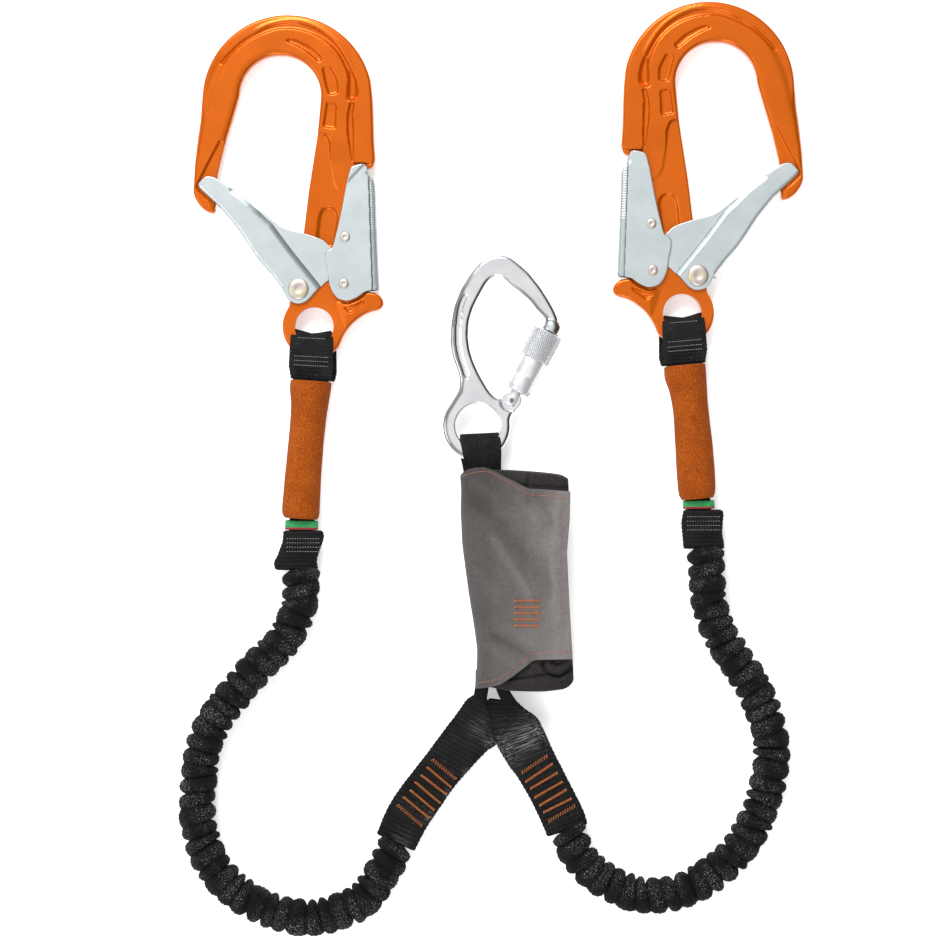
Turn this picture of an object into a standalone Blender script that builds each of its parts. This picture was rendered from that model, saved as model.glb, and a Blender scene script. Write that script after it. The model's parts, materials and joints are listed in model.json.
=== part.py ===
"""An energy absorbing Y-lanyard, laid out flat on a table.

A screw-lock carabiner holds the webbing loop of a folded tear-webbing absorber in its pouch.
Two short webbing arms leave the pouch and carry two elastic legs in pleated sheaths. Each leg
ends in a foam grip and a large aluminium scaffold hook with a sprung gate and a palm lever.

Metres, +Z up. The origin is the centre of the absorber pack's underside, +Y runs up the pack
towards the carabiner and +X to the right. The hinges of the hooks all stand along Z.
"""

import math

import bmesh
import bpy
from mathutils import Matrix, Vector

MM = 0.001
GAP = 0.3 * MM

# The table plan is drawn on a grid of 0.7 mm squares, counted right and down from the corner
# of the layout. The hooks are drawn in millimetres about their eyes instead.
GRID = 0.7 * MM
PACK_CENTRE = (518.5, 581.5)

# Hook, thicknesses either side of its middle plane
HOOK_MIDDLE = 9.0 * MM
HOOK_HALF = 6.0 * MM
HOOK_THIN_HALF = 4.0 * MM
GATE_WING = (4.3 * MM, 5.7 * MM)
GATE_BAND = (5.6 * MM, 7.0 * MM)
LEVER_CHEEK = (6.3 * MM, 7.5 * MM)
HEAD = (7.8 * MM, 8.6 * MM)
EYE_RADIUS = 13.7 * MM
EYE_RIM = 22.6 * MM
HOOK_CHAMFER = 1.4 * MM
POCKET_DEPTH = 1.5 * MM
BEARING_FLAT = 8.0 * MM

# Hook plan in millimetres from the eye's centre, drawn for the left hook
GATE_PIVOT = (-11.0, 26.4)
LEVER_PIVOT = (20.9, 30.1)
CATCH_PIN = (21.9, 63.0)
GATE_RIVET_RADIUS = 3.5 * MM
SMALL_RIVET_RADIUS = 1.75 * MM
PIN_RADIUS = 2.0 * MM
BIG_HEAD_RADIUS = 7.2 * MM
SMALL_HEAD_RADIUS = 3.4 * MM

# Carabiner, millimetres from the centre of its ring
CARABINER_MIDDLE = 11.4 * MM
CARABINER_HALF = 5.5 * MM
RING_HOLE = 16.0
RING_OUTER = 25.5
GATE_TILT = math.radians(27.8)
CARABINER_PIVOT = (23.8, 17.9)
TANG_RADIUS = 7.0
TANG_HALF = 2.5 * MM
ROD_RADIUS = 5.0 * MM
SLEEVE_BORE = 5.4 * MM
BARREL_RADIUS = 9.75 * MM
COLLAR_RADIUS = 11.2 * MM

# Absorber pack
POUCH_Z = (1.5 * MM, 32.0 * MM)
POUCH_WALL = 1.6 * MM
COVER_THICK = 1.2 * MM
COVER_TOP = 34.3 * MM
TAPE_THICK = 0.7 * MM
TEAR_WIDTH = 46.0 * MM
TEAR_THICK = 3.0 * MM
TEAR_LAYERS = 6
TEAR_PITCH = 4.1 * MM
TEAR_HALF_LENGTH = 58.0 * MM

# Straps and legs
TAIL_MIDDLE = 12.8 * MM
TAIL_HALF = 2.8 * MM
ARM_Z = (9.0 * MM, 15.0 * MM)
ARM_WIDTH = 31.5 * MM
LEG_RADIUS = 13.6 * MM
LEG_WALL = 5.4 * MM
CORE_RADIUS = 7.7 * MM
LEG_MIDDLE = 13.9 * MM
GRIP_FLATTENING = 0.85

PARTS = "energy_absorbing_y_lanyard"
CUTTERS = "cutters"

# Plan of what each side of the lanyard has of its own, on the grid
EYE = {"left": (313.0, 325.4), "right": (684.0, 311.8)}
SIGN = {"left": 1, "right": -1}
LEG_ROUTE = {
    "left": [
        (300, 572), (299, 600), (296, 614), (282, 642), (256, 668), (233, 695), (213, 722),
        (201, 750), (197, 780), (195, 808), (198, 835), (209, 865), (228, 889), (254, 907),
        (283, 918), (312, 921), (340, 914), (364, 901), (381, 876), (389, 862), (395, 848),
    ],
    "right": [
        (707, 551), (709, 580), (710, 600), (720, 632), (735, 657), (752, 683), (765, 711),
        (773, 740), (773, 770), (767, 797), (758, 822), (744, 847), (725, 868), (700, 886),
        (672, 897), (642, 898), (616, 889), (594, 875), (581, 861), (574, 848), (569, 833),
    ],
}
GRIP_STATIONS = {
    "left": [
        (309.7, 382, 42), (309, 390, 41.5), (308.5, 403, 38), (306.5, 422, 36),
        (303.5, 455, 36), (300.5, 492, 37.5), (299.3, 513, 38), (299.6, 519, 32),
    ],
    "right": [
        (686.5, 366, 42), (687.3, 376, 42), (690, 390, 38), (692.5, 410, 36),
        (696, 450, 38), (698, 480, 38.5), (698.8, 493, 36), (699.3, 499, 32),
    ],
}
WEBBING_PLAN = {
    "left": [
        (290, 330), (316, 335.5), (331, 330), (335.5, 352), (335, 365), (331, 377),
        (322.5, 381), (312, 548), (286, 548), (296.5, 381), (290, 377), (288, 365), (287, 350),
    ],
    "right": [
        (704, 313), (680, 319), (665, 316), (661, 337), (662, 350), (666, 361),
        (674, 365), (689.5, 531), (715.5, 531), (700, 365), (705, 361), (707, 345), (706.5, 333),
    ],
}
WEBBING_TOP = {"left": 329.0, "right": 312.0}
GRIP_TOP = {"left": 382.0, "right": 366.0}
TAIL_END = {"left": 546.0, "right": 526.0}
BAND_PLAN = {"left": (283.5, 520.6, 317.0, 530.0), "right": (684.5, 500.6, 716.5, 509.0)}
SEWN_PLAN = {
    "left": [
        (281, 530.8), (322, 530.8), (323, 537), (320, 545), (316, 560), (317, 571),
        (273, 570), (273, 563), (276, 555), (280, 545),
    ],
    "right": [
        (684.5, 509.8), (725, 509.8), (726, 516), (724, 535), (727, 549.5), (685, 549.5),
        (684, 546), (683, 530),
    ],
}
ARM_PLAN = {
    "left": [
        (475, 699), (491, 700.5), (496.7, 712), (496.7, 744.5), (482, 760), (472, 768),
        (465, 778), (448, 802), (432, 824),
    ],
    "left_return": [
        (392, 805), (410, 778), (425, 757), (440, 736), (455, 716), (466, 704),
    ],
    "right": [
        (520, 706), (509, 701), (497.5, 712), (497.5, 744.5), (503, 757), (510, 770),
        (525, 791), (535, 808),
    ],
    "right_return": [
        (576, 794), (570, 783), (555, 755), (548, 740), (541, 729), (534, 716),
    ],
}
BOTTOM_LOOP_PLAN = {
    "left": [(480.5, 676), (489, 676), (490, 711), (475, 711), (476, 692), (480.5, 689)],
    "right": [(496, 676), (510, 676), (518, 711), (501, 711)],
}
FLAP_LEFT = [
    (461.5, 480), (461.5, 500), (462.5, 540), (465, 575), (468, 595), (472, 620),
    (476, 645), (477.5, 665), (477, 688),
]
FLAP_REST = [
    (490, 686.5), (510, 677), (528, 664), (535, 660), (545, 659), (572, 658),
    (572.5, 650), (568, 590), (566.5, 551), (568.5, 540), (569.5, 500), (569, 491),
    (540, 489), (527, 488.5), (500, 473), (490, 468.5), (480, 467), (462, 472),
]
POUCH_REST = [
    (507, 691.5), (541, 692.5), (562, 690), (571, 685), (573, 676), (571.5, 655),
    (570, 600), (569.5, 500), (568.5, 483), (563, 476), (530, 473), (501, 471), (470, 473),
]
FLAP_HINGE = ((460.0, 500.0), (473.5, 670.0))
RING_CENTRE = (478.0, 425.5)
STRAP_PLAN = [
    (460, 437), (462, 434.5), (490, 432.5), (500, 439), (503, 448), (502, 460), (501, 484),
    (467, 484), (466, 478), (460, 471), (459.5, 459), (464, 449),
]


def clear_scene():
    for item in list(bpy.data.objects):
        bpy.data.objects.remove(item, do_unlink=True)


def new_collection(name):
    made = bpy.data.collections.new(name)
    bpy.context.scene.collection.children.link(made)
    return made


def material(name, colour, roughness, metallic=0.0):
    """A Principled material that pieces of one finish share."""
    made = bpy.data.materials.get(name)
    if made:
        return made
    made = bpy.data.materials.new(name)
    made.use_nodes = True
    shader = made.node_tree.nodes["Principled BSDF"]
    shader.inputs["Base Color"].default_value = (*colour, 1.0)
    shader.inputs["Roughness"].default_value = roughness
    shader.inputs["Metallic"].default_value = metallic
    made.diffuse_color = (*colour, 1.0)
    return made


FINISHES = {
    "anodised_orange": ((0.80, 0.20, 0.02), 0.28, 0.85),
    "zinc_steel": ((0.72, 0.76, 0.77), 0.34, 0.9),
    "rivet_steel": ((0.74, 0.70, 0.62), 0.35, 0.9),
    "spring_steel": ((0.45, 0.46, 0.48), 0.3, 1.0),
    "polished_aluminium": ((0.85, 0.86, 0.87), 0.18, 1.0),
    "black_webbing": ((0.02, 0.02, 0.022), 0.85),
    "orange_foam": ((0.62, 0.14, 0.02), 0.9),
    "green_band": ((0.02, 0.25, 0.06), 0.7),
    "grey_fabric": ((0.20, 0.20, 0.20), 0.85),
    "black_fabric": ((0.025, 0.022, 0.023), 0.9),
    "hook_tape": ((0.05, 0.05, 0.05), 0.95),
    "tear_webbing": ((0.55, 0.50, 0.10), 0.85),
    "rubber_core": ((0.60, 0.55, 0.42), 0.7),
}


def finish(item, name):
    """Gives a piece its finish and files it with the parts."""
    values = FINISHES[name]
    item.data.materials.clear()
    item.data.materials.append(material(name, *values))
    return item


def file_in(item, collection):
    for home in list(item.users_collection):
        home.objects.unlink(item)
    bpy.data.collections[collection].objects.link(item)
    return item


def at(place):
    """A grid place in metres from the pack's centre."""
    return ((place[0] - PACK_CENTRE[0]) * GRID, (PACK_CENTRE[1] - place[1]) * GRID)


def plan(places, origin=(0.0, 0.0)):
    """A list of grid places in metres from an origin that is in metres too."""
    return [tuple(Vector(at(place)) - Vector(origin)) for place in places]


def arc(centre, radius, start, end, steps):
    """Points along an arc, both ends included, angles in degrees."""
    points = []
    for step in range(steps + 1):
        angle = math.radians(start + (end - start) * step / steps)
        points.append((centre[0] + radius * math.cos(angle), centre[1] + radius * math.sin(angle)))
    return points


def smooth(points, steps):
    """Points read from a smooth curve through the given ones (Catmull-Rom)."""
    vectors = [Vector(point) for point in points]
    ends = [2 * vectors[0] - vectors[1]] + vectors + [2 * vectors[-1] - vectors[-2]]
    found = []
    for a, b, c, d in zip(ends, ends[1:], ends[2:], ends[3:]):
        for step in range(steps):
            t = step / steps
            bend = 2 * a - 5 * b + 4 * c - d
            found.append(0.5 * (2 * b + (c - a) * t + bend * t * t + (3 * (b - c) + d - a) * t**3))
    found.append(vectors[-1])
    return [tuple(point) for point in found]


def spaced(points, distance):
    """Points an even distance apart along a polyline, both ends kept."""
    vectors = [Vector(point) for point in points]
    runs = [0.0]
    for a, b in zip(vectors, vectors[1:]):
        runs.append(runs[-1] + (b - a).length)
    count = max(2, round(runs[-1] / distance))
    found = []
    place = 0
    for number in range(count + 1):
        wanted = runs[-1] * number / count
        while place < len(runs) - 2 and runs[place + 1] < wanted:
            place += 1
        share = (wanted - runs[place]) / (runs[place + 1] - runs[place])
        found.append(tuple(vectors[place].lerp(vectors[place + 1], share)))
    return found


def curve_object(name, points, dimensions, cyclic, collection):
    data = bpy.data.curves.new(name, "CURVE")
    data.dimensions = dimensions
    spline = data.splines.new("POLY")
    spline.points.add(len(points) - 1)
    for target, point in zip(spline.points, points):
        target.co = (*point, 0.0, 1.0) if len(point) == 2 else (*point, 1.0)
    spline.use_cyclic_u = cyclic
    item = bpy.data.objects.new(name, data)
    bpy.data.collections[collection].objects.link(item)
    return item


def as_mesh(item):
    """The mesh of a curve, its caps welded, in the curve's place."""
    graph = bpy.context.evaluated_depsgraph_get()
    mesh = bpy.data.meshes.new_from_object(item.evaluated_get(graph))
    shape = bmesh.new()
    shape.from_mesh(mesh)
    bmesh.ops.remove_doubles(shape, verts=shape.verts, dist=0.002 * MM)
    bmesh.ops.recalc_face_normals(shape, faces=shape.faces)
    shape.to_mesh(mesh)
    shape.free()
    name = item.name
    home = item.users_collection[0]
    place = item.matrix_world.copy()
    bpy.data.objects.remove(item, do_unlink=True)
    made = bpy.data.objects.new(name, mesh)
    made.matrix_world = place
    home.objects.link(made)
    return made


def slab(name, outline, low, high, chamfer=0.0, rounds=0, collection=PARTS):
    """A flat outline in metres made solid between two heights, its edges chamfered or rounded."""
    item = curve_object(name, outline, "2D", True, collection)
    item.data.fill_mode = "BOTH"
    item.data.extrude = (high - low) / 2 - chamfer
    item.data.bevel_depth = chamfer
    item.data.bevel_resolution = rounds
    item.data.offset = -chamfer
    item.location.z = (low + high) / 2
    bpy.context.view_layer.update()
    item = as_mesh(item)
    item.data.transform(Matrix.Translation((0, 0, item.location.z)))
    item.location.z = 0.0
    return item


def cylinder(name, centre, radius, low, high, sides=16, collection=PARTS):
    """An upright cylinder between two heights, centre in metres."""
    shape = bmesh.new()
    middle = Matrix.Translation((centre[0], centre[1], (low + high) / 2))
    bmesh.ops.create_cone(
        shape, cap_ends=True, segments=sides, radius1=radius, radius2=radius,
        depth=high - low, matrix=middle,
    )
    mesh = bpy.data.meshes.new(name)
    shape.to_mesh(mesh)
    shape.free()
    item = bpy.data.objects.new(name, mesh)
    bpy.data.collections[collection].objects.link(item)
    return item


def box(name, low, high, collection=PARTS):
    """A box between two corners."""
    shape = bmesh.new()
    size = [b - a for a, b in zip(low, high)]
    middle = [(a + b) / 2 for a, b in zip(low, high)]
    bmesh.ops.create_cube(shape, size=1.0, matrix=Matrix.Translation(middle) @ Matrix.Diagonal((*size, 1)))
    mesh = bpy.data.meshes.new(name)
    shape.to_mesh(mesh)
    shape.free()
    item = bpy.data.objects.new(name, mesh)
    bpy.data.collections[collection].objects.link(item)
    return item


def turned(name, profile, sides, collection=PARTS):
    """A solid turned about Z from a closed profile of (radius, height), outer side top to bottom."""
    mesh = bpy.data.meshes.new(name)
    count = len(profile)
    edges = [(number, (number + 1) % count) for number in range(count)]
    mesh.from_pydata([(radius, 0.0, height) for radius, height in profile], edges, [])
    item = bpy.data.objects.new(name, mesh)
    bpy.data.collections[collection].objects.link(item)
    screw = item.modifiers.new("turn", "SCREW")
    screw.steps = sides
    screw.render_steps = sides
    screw.use_merge_vertices = True
    screw.merge_threshold = 0.00001
    return item


def tube(name, points, radius, resolution, widths=None, capped=True, collection=PARTS):
    """A round tube along points, its radius scaled at each by widths."""
    item = curve_object(name, points, "3D", False, collection)
    item.data.bevel_depth = radius
    item.data.bevel_resolution = resolution
    item.data.use_fill_caps = capped
    for point, width in zip(item.data.splines[0].points, widths or []):
        point.radius = width
    return item


def combine(item, other, operation):
    """Joins to an item, or cuts or trims it by, another that is filed with the cutters."""
    file_in(other, CUTTERS)
    other.hide_render = True
    other.display_type = "WIRE"
    modifier = item.modifiers.new(other.name, "BOOLEAN")
    modifier.operation = operation
    modifier.solver = "EXACT"
    modifier.object = other
    return item


def settle(item):
    """Applies an item's modifiers to its mesh."""
    bpy.context.view_layer.update()
    graph = bpy.context.evaluated_depsgraph_get()
    mesh = bpy.data.meshes.new_from_object(item.evaluated_get(graph))
    item.modifiers.clear()
    item.data = mesh
    return item


def set_origin(item, place, parent=None):
    """Moves an item's origin to a place in metres and leaves its shape where it is."""
    item.data.transform(Matrix.Translation(-Vector(place)))
    item.location = place
    if parent:
        item.parent = parent
        item.matrix_parent_inverse = parent.matrix_world.inverted()
    return item


def empty(name, place, turn=0.0):
    item = bpy.data.objects.new(name, None)
    item.location = place
    item.rotation_euler.z = turn
    item.empty_display_size = 0.02
    bpy.data.collections[PARTS].objects.link(item)
    bpy.context.view_layer.update()
    return item


def shade(item, degrees=35):
    """Smooth shading, sharp where faces meet at more than the angle."""
    item.data.shade_smooth()
    item.data.set_sharp_from_angle(angle=math.radians(degrees))
    return item


class HookPlan:
    """Turns the left hook's drawing, in millimetres about its eye, into one side's metres."""

    def __init__(self, side):
        self.sign = SIGN[side]
        self.eye = at(EYE[side])

    def place(self, point):
        return (self.eye[0] + self.sign * point[0] * MM, self.eye[1] + point[1] * MM)

    def outline(self, points):
        return [self.place(point) for point in points]

    def slab(self, name, points, low, high, **how):
        """A slab whose heights are counted from the hook's middle plane."""
        return slab(name, self.outline(points), HOOK_MIDDLE + low, HOOK_MIDDLE + high, **how)

    def peg(self, name, point, radius, low, high, sides=16, **how):
        heights = (HOOK_MIDDLE + low, HOOK_MIDDLE + high)
        return cylinder(name, self.place(point), radius, *heights, sides=sides, **how)


def hook_outline():
    """Nose tip, up the outer arm, over the crown, down the spine, round the horn and the eye,
    back up the inner side and round the inner crown with its small bearing flat."""
    half_flat = BEARING_FLAT / MM / 2
    inner_centre = (-24.0, 163.0)
    inner_radius = 28.8
    flat_angle = math.degrees(math.acos(half_flat / inner_radius))
    outer_arm = [
        (-69.9, 79.5), (-75.4, 80.8), (-80.0, 84.3), (-83.9, 89.7), (-85.6, 94.5),
        (-84.3, 115.1), (-82.2, 132.2), (-80.1, 146.0),
    ]
    crown = arc((-18.8, 159.6), 60.3, 176, 13, 17)
    spine = [
        (41.3, 160.0), (41.8, 146.0), (42.2, 130.0), (43.2, 117.1), (41.1, 111.9), (31.0, 110.7),
        (29.5, 108.0), (33.4, 28.0), (36.0, 24.6),
    ]
    horn = [
        (43.2, 24.0), (47.3, 21.2), (49.3, 17.8), (49.0, 14.2), (46.3, 12.0), (39.0, 10.3),
        (33.6, 7.5), (26.7, 2.1), (21.9, -4.1), (18.6, -10.6),
    ]
    rim = arc((0, 0), EYE_RIM / MM, -38, -222, 12)
    boss = arc(GATE_PIVOT, 10.0, 232, 160, 4)
    inner_side = [(-18.6, 36.0), (-13.0, 50.0), (-7.5, 65.8), (-4.1, 94.5), (2.1, 134.3)]
    inner_crown = arc(inner_centre, inner_radius, 0, flat_angle, 5)
    inner_crown += arc(inner_centre, inner_radius, 180 - flat_angle, 180, 5)
    inner_arm = [(-58.2, 145.0), (-63.7, 126.7), (-68.5, 106.9), (-69.9, 85.6)]
    return outer_arm + crown + spine + horn + rim + boss + inner_side + inner_crown + inner_arm


CROWN_CENTRE = (-18.8, 159.6)
HOOK_POCKETS = [
    [
        (-20.6, 201.4), (-11.0, 201.4), (-2.1, 196.6), (6.2, 189.1), (3.4, 186.3), (-5.5, 194.0),
        (-13.7, 198.6),
    ],
    [(5.5, 182.2), (11.6, 182.9), (16.4, 173.3), (17.1, 164.4), (10.3, 163.0), (8.2, 169.9)],
    [(8.9, 158.2), (15.8, 156.9), (15.1, 139.4), (6.2, 140.7)],
    arc(CROWN_CENTRE, 52.0, 153, 0, 9) + arc(CROWN_CENTRE, 44.5, 0, 153, 9),
]
HORN_POCKET = [
    (19.9, 13.6), (24.0, 9.6), (25.5, 9.2), (32.2, 14.0), (36.4, 17.0), (35.0, 18.6), (28.0, 14.5),
]
# Where the frame is thinned for the cheeks of the gate and the lever, and for the gate's mouth
SPINE_THINNING = [
    (-24.0, 15.6), (-11.0, 15.2), (-3.5, 15.6), (3.0, 16.4), (12.0, 14.4), (17.0, 16.2), (24.0, 15.4),
    (31.0, 18.2), (35.0, 21.0), (38.0, 25.0), (47.0, 25.5), (47.0, 115.3), (13.0, 115.3), (11.6, 129.0),
    (8.4, 134.0), (-10.0, 136.5),
]
NOSE_THINNING = [(-60.0, 131.0), (-67.0, 131.0), (-82.0, 99.0), (-81.2, 96.6), (-69.6, 86.2), (-60.0, 86.2)]


def hook_frame(side, plan_of, parent):
    """The forged body: chamfered outline, eye, pivot holes, pin slot, pockets and thinnings."""
    name = f"{side}_hook_frame"
    body = plan_of.slab(name, hook_outline(), -HOOK_HALF, HOOK_HALF, chamfer=HOOK_CHAMFER)
    through = HOOK_HALF + MM
    holes = [
        ("eye", (0, 0), EYE_RADIUS, 28),
        ("gate_hole", GATE_PIVOT, GATE_RIVET_RADIUS + GAP, 16),
        ("lever_hole", LEVER_PIVOT, SMALL_RIVET_RADIUS + GAP, 12),
    ]
    for label, point, radius, sides in holes:
        combine(body, plan_of.peg(f"{side}_{label}", point, radius, -through, through, sides), "DIFFERENCE")
    travel = 3.6
    slot = arc((CATCH_PIN[0] - travel, CATCH_PIN[1]), 2.6, 90, 270, 4)
    slot += arc(CATCH_PIN, 2.6, -90, 90, 4)
    combine(body, plan_of.slab(f"{side}_pin_slot", slot, -through, through), "DIFFERENCE")
    for face in (-1, 1):
        thin = sorted((face * HOOK_THIN_HALF, face * through))
        deep = sorted((face * (HOOK_HALF - POCKET_DEPTH), face * through))
        label = "front" if face > 0 else "back"
        cuts = [(SPINE_THINNING, thin), (NOSE_THINNING, thin), (HORN_POCKET, deep)]
        cuts += [(pocket, deep) for pocket in HOOK_POCKETS]
        for number, (outline, heights) in enumerate(cuts):
            cutter = plan_of.slab(f"{side}_{label}_cut_{number}", outline, *heights)
            combine(body, cutter, "DIFFERENCE")
    # A seat for the gate spring on one face of the boss, open towards the gate's back
    seat = arc(GATE_PIVOT, 7.2, -60, 180, 10) + [(-24.0, 27.0), (-24.0, 22.0), (-11.0, 20.0)]
    combine(body, plan_of.slab(f"{side}_spring_seat", seat, 0.8 * MM, through), "DIFFERENCE")
    bore = cylinder(f"{side}_lever_spring_bore", (0, 0), 3.1 * MM, 0.0, 14 * MM, 12)
    turn = Matrix.Rotation(math.radians(90) * plan_of.sign, 4, "Y")
    mouth = Vector((*plan_of.place((21.0, 88.0)), HOOK_MIDDLE))
    bore.data.transform(Matrix.Translation(mouth) @ turn)
    combine(body, bore, "DIFFERENCE")
    settle(body)
    set_origin(body, (*plan_of.eye, HOOK_MIDDLE), parent)
    return shade(finish(body, "anodised_orange"))


GATE_BACK = [
    (-80.1, 98.0), (-63.7, 84.3), (-52.7, 69.9), (-43.2, 53.4), (-39.0, 46.6), (-29.5, 35.6),
    (-24.7, 28.8),
]
GATE_TIP = [(-70.6, 104.8), (-74.0, 105.1), (-77.4, 102.8)]
GATE_SEAM = [(-15.8, 53.4), (-29.5, 71.9), (-36.3, 78.1), (-45.2, 87.3), (-56.9, 96.6)]
WING_TOP = [
    (12.0, 55.2), (8.2, 59.6), (3.4, 62.3), (-7.5, 65.8), (-15.8, 67.8), (-22.6, 69.9), (-28.1, 74.0),
    (-36.0, 80.4),
]


def hook_gate(side, plan_of, parent):
    """A folded steel channel: two cheeks and the fold along its back, open towards the spine so
    that it can straddle it, and open at the tip for the nose. The wing is stepped in."""
    name = f"{side}_hook_gate"
    heel = arc(GATE_PIVOT, 10.6, 190, 322, 6)
    band = GATE_BACK + heel + [(1.4, 24.7), (4.0, 27.6)] + GATE_SEAM + GATE_TIP
    # The wing's hidden edge clears the lever's rivet when the gate stands open
    hidden = [(6.0, 30.0), (13.0, 41.5), (14.6, 48.0), (10.6, 52.6)]
    wing = [(-11.0, 17.0), (-3.0, 19.5), (1.4, 24.7)] + hidden + WING_TOP
    wing += [(-45.0, 86.0), (-39.0, 60.0)]
    gate = plan_of.slab(name, band, -GATE_BAND[1], GATE_BAND[1], chamfer=0.8 * MM)
    combine(gate, plan_of.slab(f"{side}_gate_wing", wing, -GATE_WING[1], GATE_WING[1]), "UNION")
    fold = 1.5
    inside = [(x + fold * 0.75, y + fold * 0.66) for x, y in GATE_BACK[1:-1]]
    mouth = [(-67.3, 83.0), (-84.0, 83.0), (-84.0, 110.0)]
    open_side = [(20.0, 110.0), (20.0, 12.0), (-30.0, 12.0), (-27.5, 33.0)]
    band_room = mouth + open_side + list(reversed(inside[1:])) + [(-67.3, 88.4)]
    room = plan_of.slab(f"{side}_gate_room", band_room, -GATE_WING[0], GATE_WING[0])
    combine(gate, room, "DIFFERENCE")
    # The cheeks close in where the wing begins, so the wide room stops there
    seam = [(-45.6, 85.6), (-36.0, 77.0), (-27.0, 68.0), (-12.0, 47.0)]
    wide = [(-67.3, 83.0), (-84.0, 83.0), (-84.0, 110.0), (-66.0, 110.0), (-57.0, 95.6)]
    wide += seam + [(2.0, 28.0), (0.0, 22.0), (-3.0, 12.0)]
    wide += [(-30.0, 12.0), (-27.5, 33.0)] + list(reversed(inside[1:])) + [(-67.3, 88.4)]
    wide_room = plan_of.slab(f"{side}_gate_wide_room", wide, -GATE_BAND[0], GATE_BAND[0])
    combine(gate, wide_room, "DIFFERENCE")
    through = GATE_BAND[1] + MM
    rivet_hole = plan_of.peg(
        f"{side}_gate_rivet_hole", GATE_PIVOT, GATE_RIVET_RADIUS + GAP, -through, through
    )
    combine(gate, rivet_hole, "DIFFERENCE")
    slot = swept_slot(31.9, 2.4, (11.0, 54.6))
    combine(gate, plan_of.slab(f"{side}_rivet_path", slot, -through, through), "DIFFERENCE")
    settle(gate)
    set_origin(gate, (*plan_of.place(GATE_PIVOT), HOOK_MIDDLE), parent)
    return shade(finish(gate, "zinc_steel"))


def swept_slot(radius, half, angles):
    """An arc-shaped slot about the gate's pivot."""
    outer = arc(GATE_PIVOT, radius + half, angles[0] - 30, angles[1] - 3, 8)
    inner = arc(GATE_PIVOT, radius - half, angles[1] - 3, angles[0] - 30, 8)
    end = arc(GATE_PIVOT, radius, angles[1], angles[1], 1)[:1]
    return outer + end + inner


LEVER_OUTLINE = [
    (23.3, 109.6), (25.3, 112.3), (30.8, 113.7), (36.3, 113.7), (37.2, 108.0), (38.6, 102.0), (42.5, 101.4),
    (43.8, 74.0), (45.9, 25.6), (40.4, 25.6), (35.6, 24.2), (32.2, 21.2), (26.7, 18.5), (21.9, 17.8),
    (15.8, 19.9), (12.3, 24.7), (9.6, 31.0), (8.0, 41.0), (6.8, 49.0), (8.2, 54.2), (12.2, 56.0),
    (15.1, 70.6), (18.5, 87.7), (20.6, 96.6),
]


def lock_lever(side, plan_of, parent):
    """The palm lever: two steel cheeks joined by the rounded back that the hand presses."""
    lever = plan_of.slab(
        f"{side}_lock_lever", LEVER_OUTLINE, -LEVER_CHEEK[1], LEVER_CHEEK[1], chamfer=0.6 * MM
    )
    room = [
        (0.0, 10.0), (46.2, 10.0), (44.3, 28.0), (42.3, 74.0), (41.2, 100.0), (46.0, 101.0),
        (46.0, 120.0), (0.0, 120.0),
    ]
    combine(lever, plan_of.slab(f"{side}_lever_room", room, -LEVER_CHEEK[0], LEVER_CHEEK[0]), "DIFFERENCE")
    through = LEVER_CHEEK[1] + MM
    holes = [
        ("lever_rivet_hole", LEVER_PIVOT, SMALL_RIVET_RADIUS + GAP),
        ("catch_pin_hole", CATCH_PIN, PIN_RADIUS + GAP),
    ]
    for label, point, radius in holes:
        combine(lever, plan_of.peg(f"{side}_{label}", point, radius, -through, through, 12), "DIFFERENCE")
    settle(lever)
    set_origin(lever, (*plan_of.place(LEVER_PIVOT), HOOK_MIDDLE), parent)
    return shade(finish(lever, "zinc_steel"))


def headed_rivet(name, place, shaft, head, under, top, sides, parent):
    """A rivet with a head at each end, domed by a small chamfer."""
    rim = 0.3 * MM
    profile = [
        (0.0, top), (head - 2 * rim, top), (head, top - rim), (head, under), (shaft, under),
        (shaft, -under), (head, -under), (head, rim - top), (head - 2 * rim, -top), (0.0, -top),
    ]
    item = turned(name, profile, sides)
    settle(item)
    weld = bmesh.new()
    weld.from_mesh(item.data)
    bmesh.ops.remove_doubles(weld, verts=weld.verts, dist=0.002 * MM)
    loose = [face for face in weld.faces if face.calc_area() < 1e-14]
    bmesh.ops.delete(weld, geom=loose, context="FACES")
    bmesh.ops.recalc_face_normals(weld, faces=weld.faces)
    weld.to_mesh(item.data)
    weld.free()
    item.location = (*place, HOOK_MIDDLE)
    if parent:
        item.parent = parent
        item.matrix_parent_inverse = parent.matrix_world.inverted()
    return shade(item)


def coil_points(radius, pitch, turns, steps, start=0.0):
    """Points along a helix about Z."""
    points = []
    for step in range(int(turns * steps) + 1):
        angle = start + 2 * math.pi * step / steps
        points.append(Vector((radius * math.cos(angle), radius * math.sin(angle), pitch * step / steps)))
    return points


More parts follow.
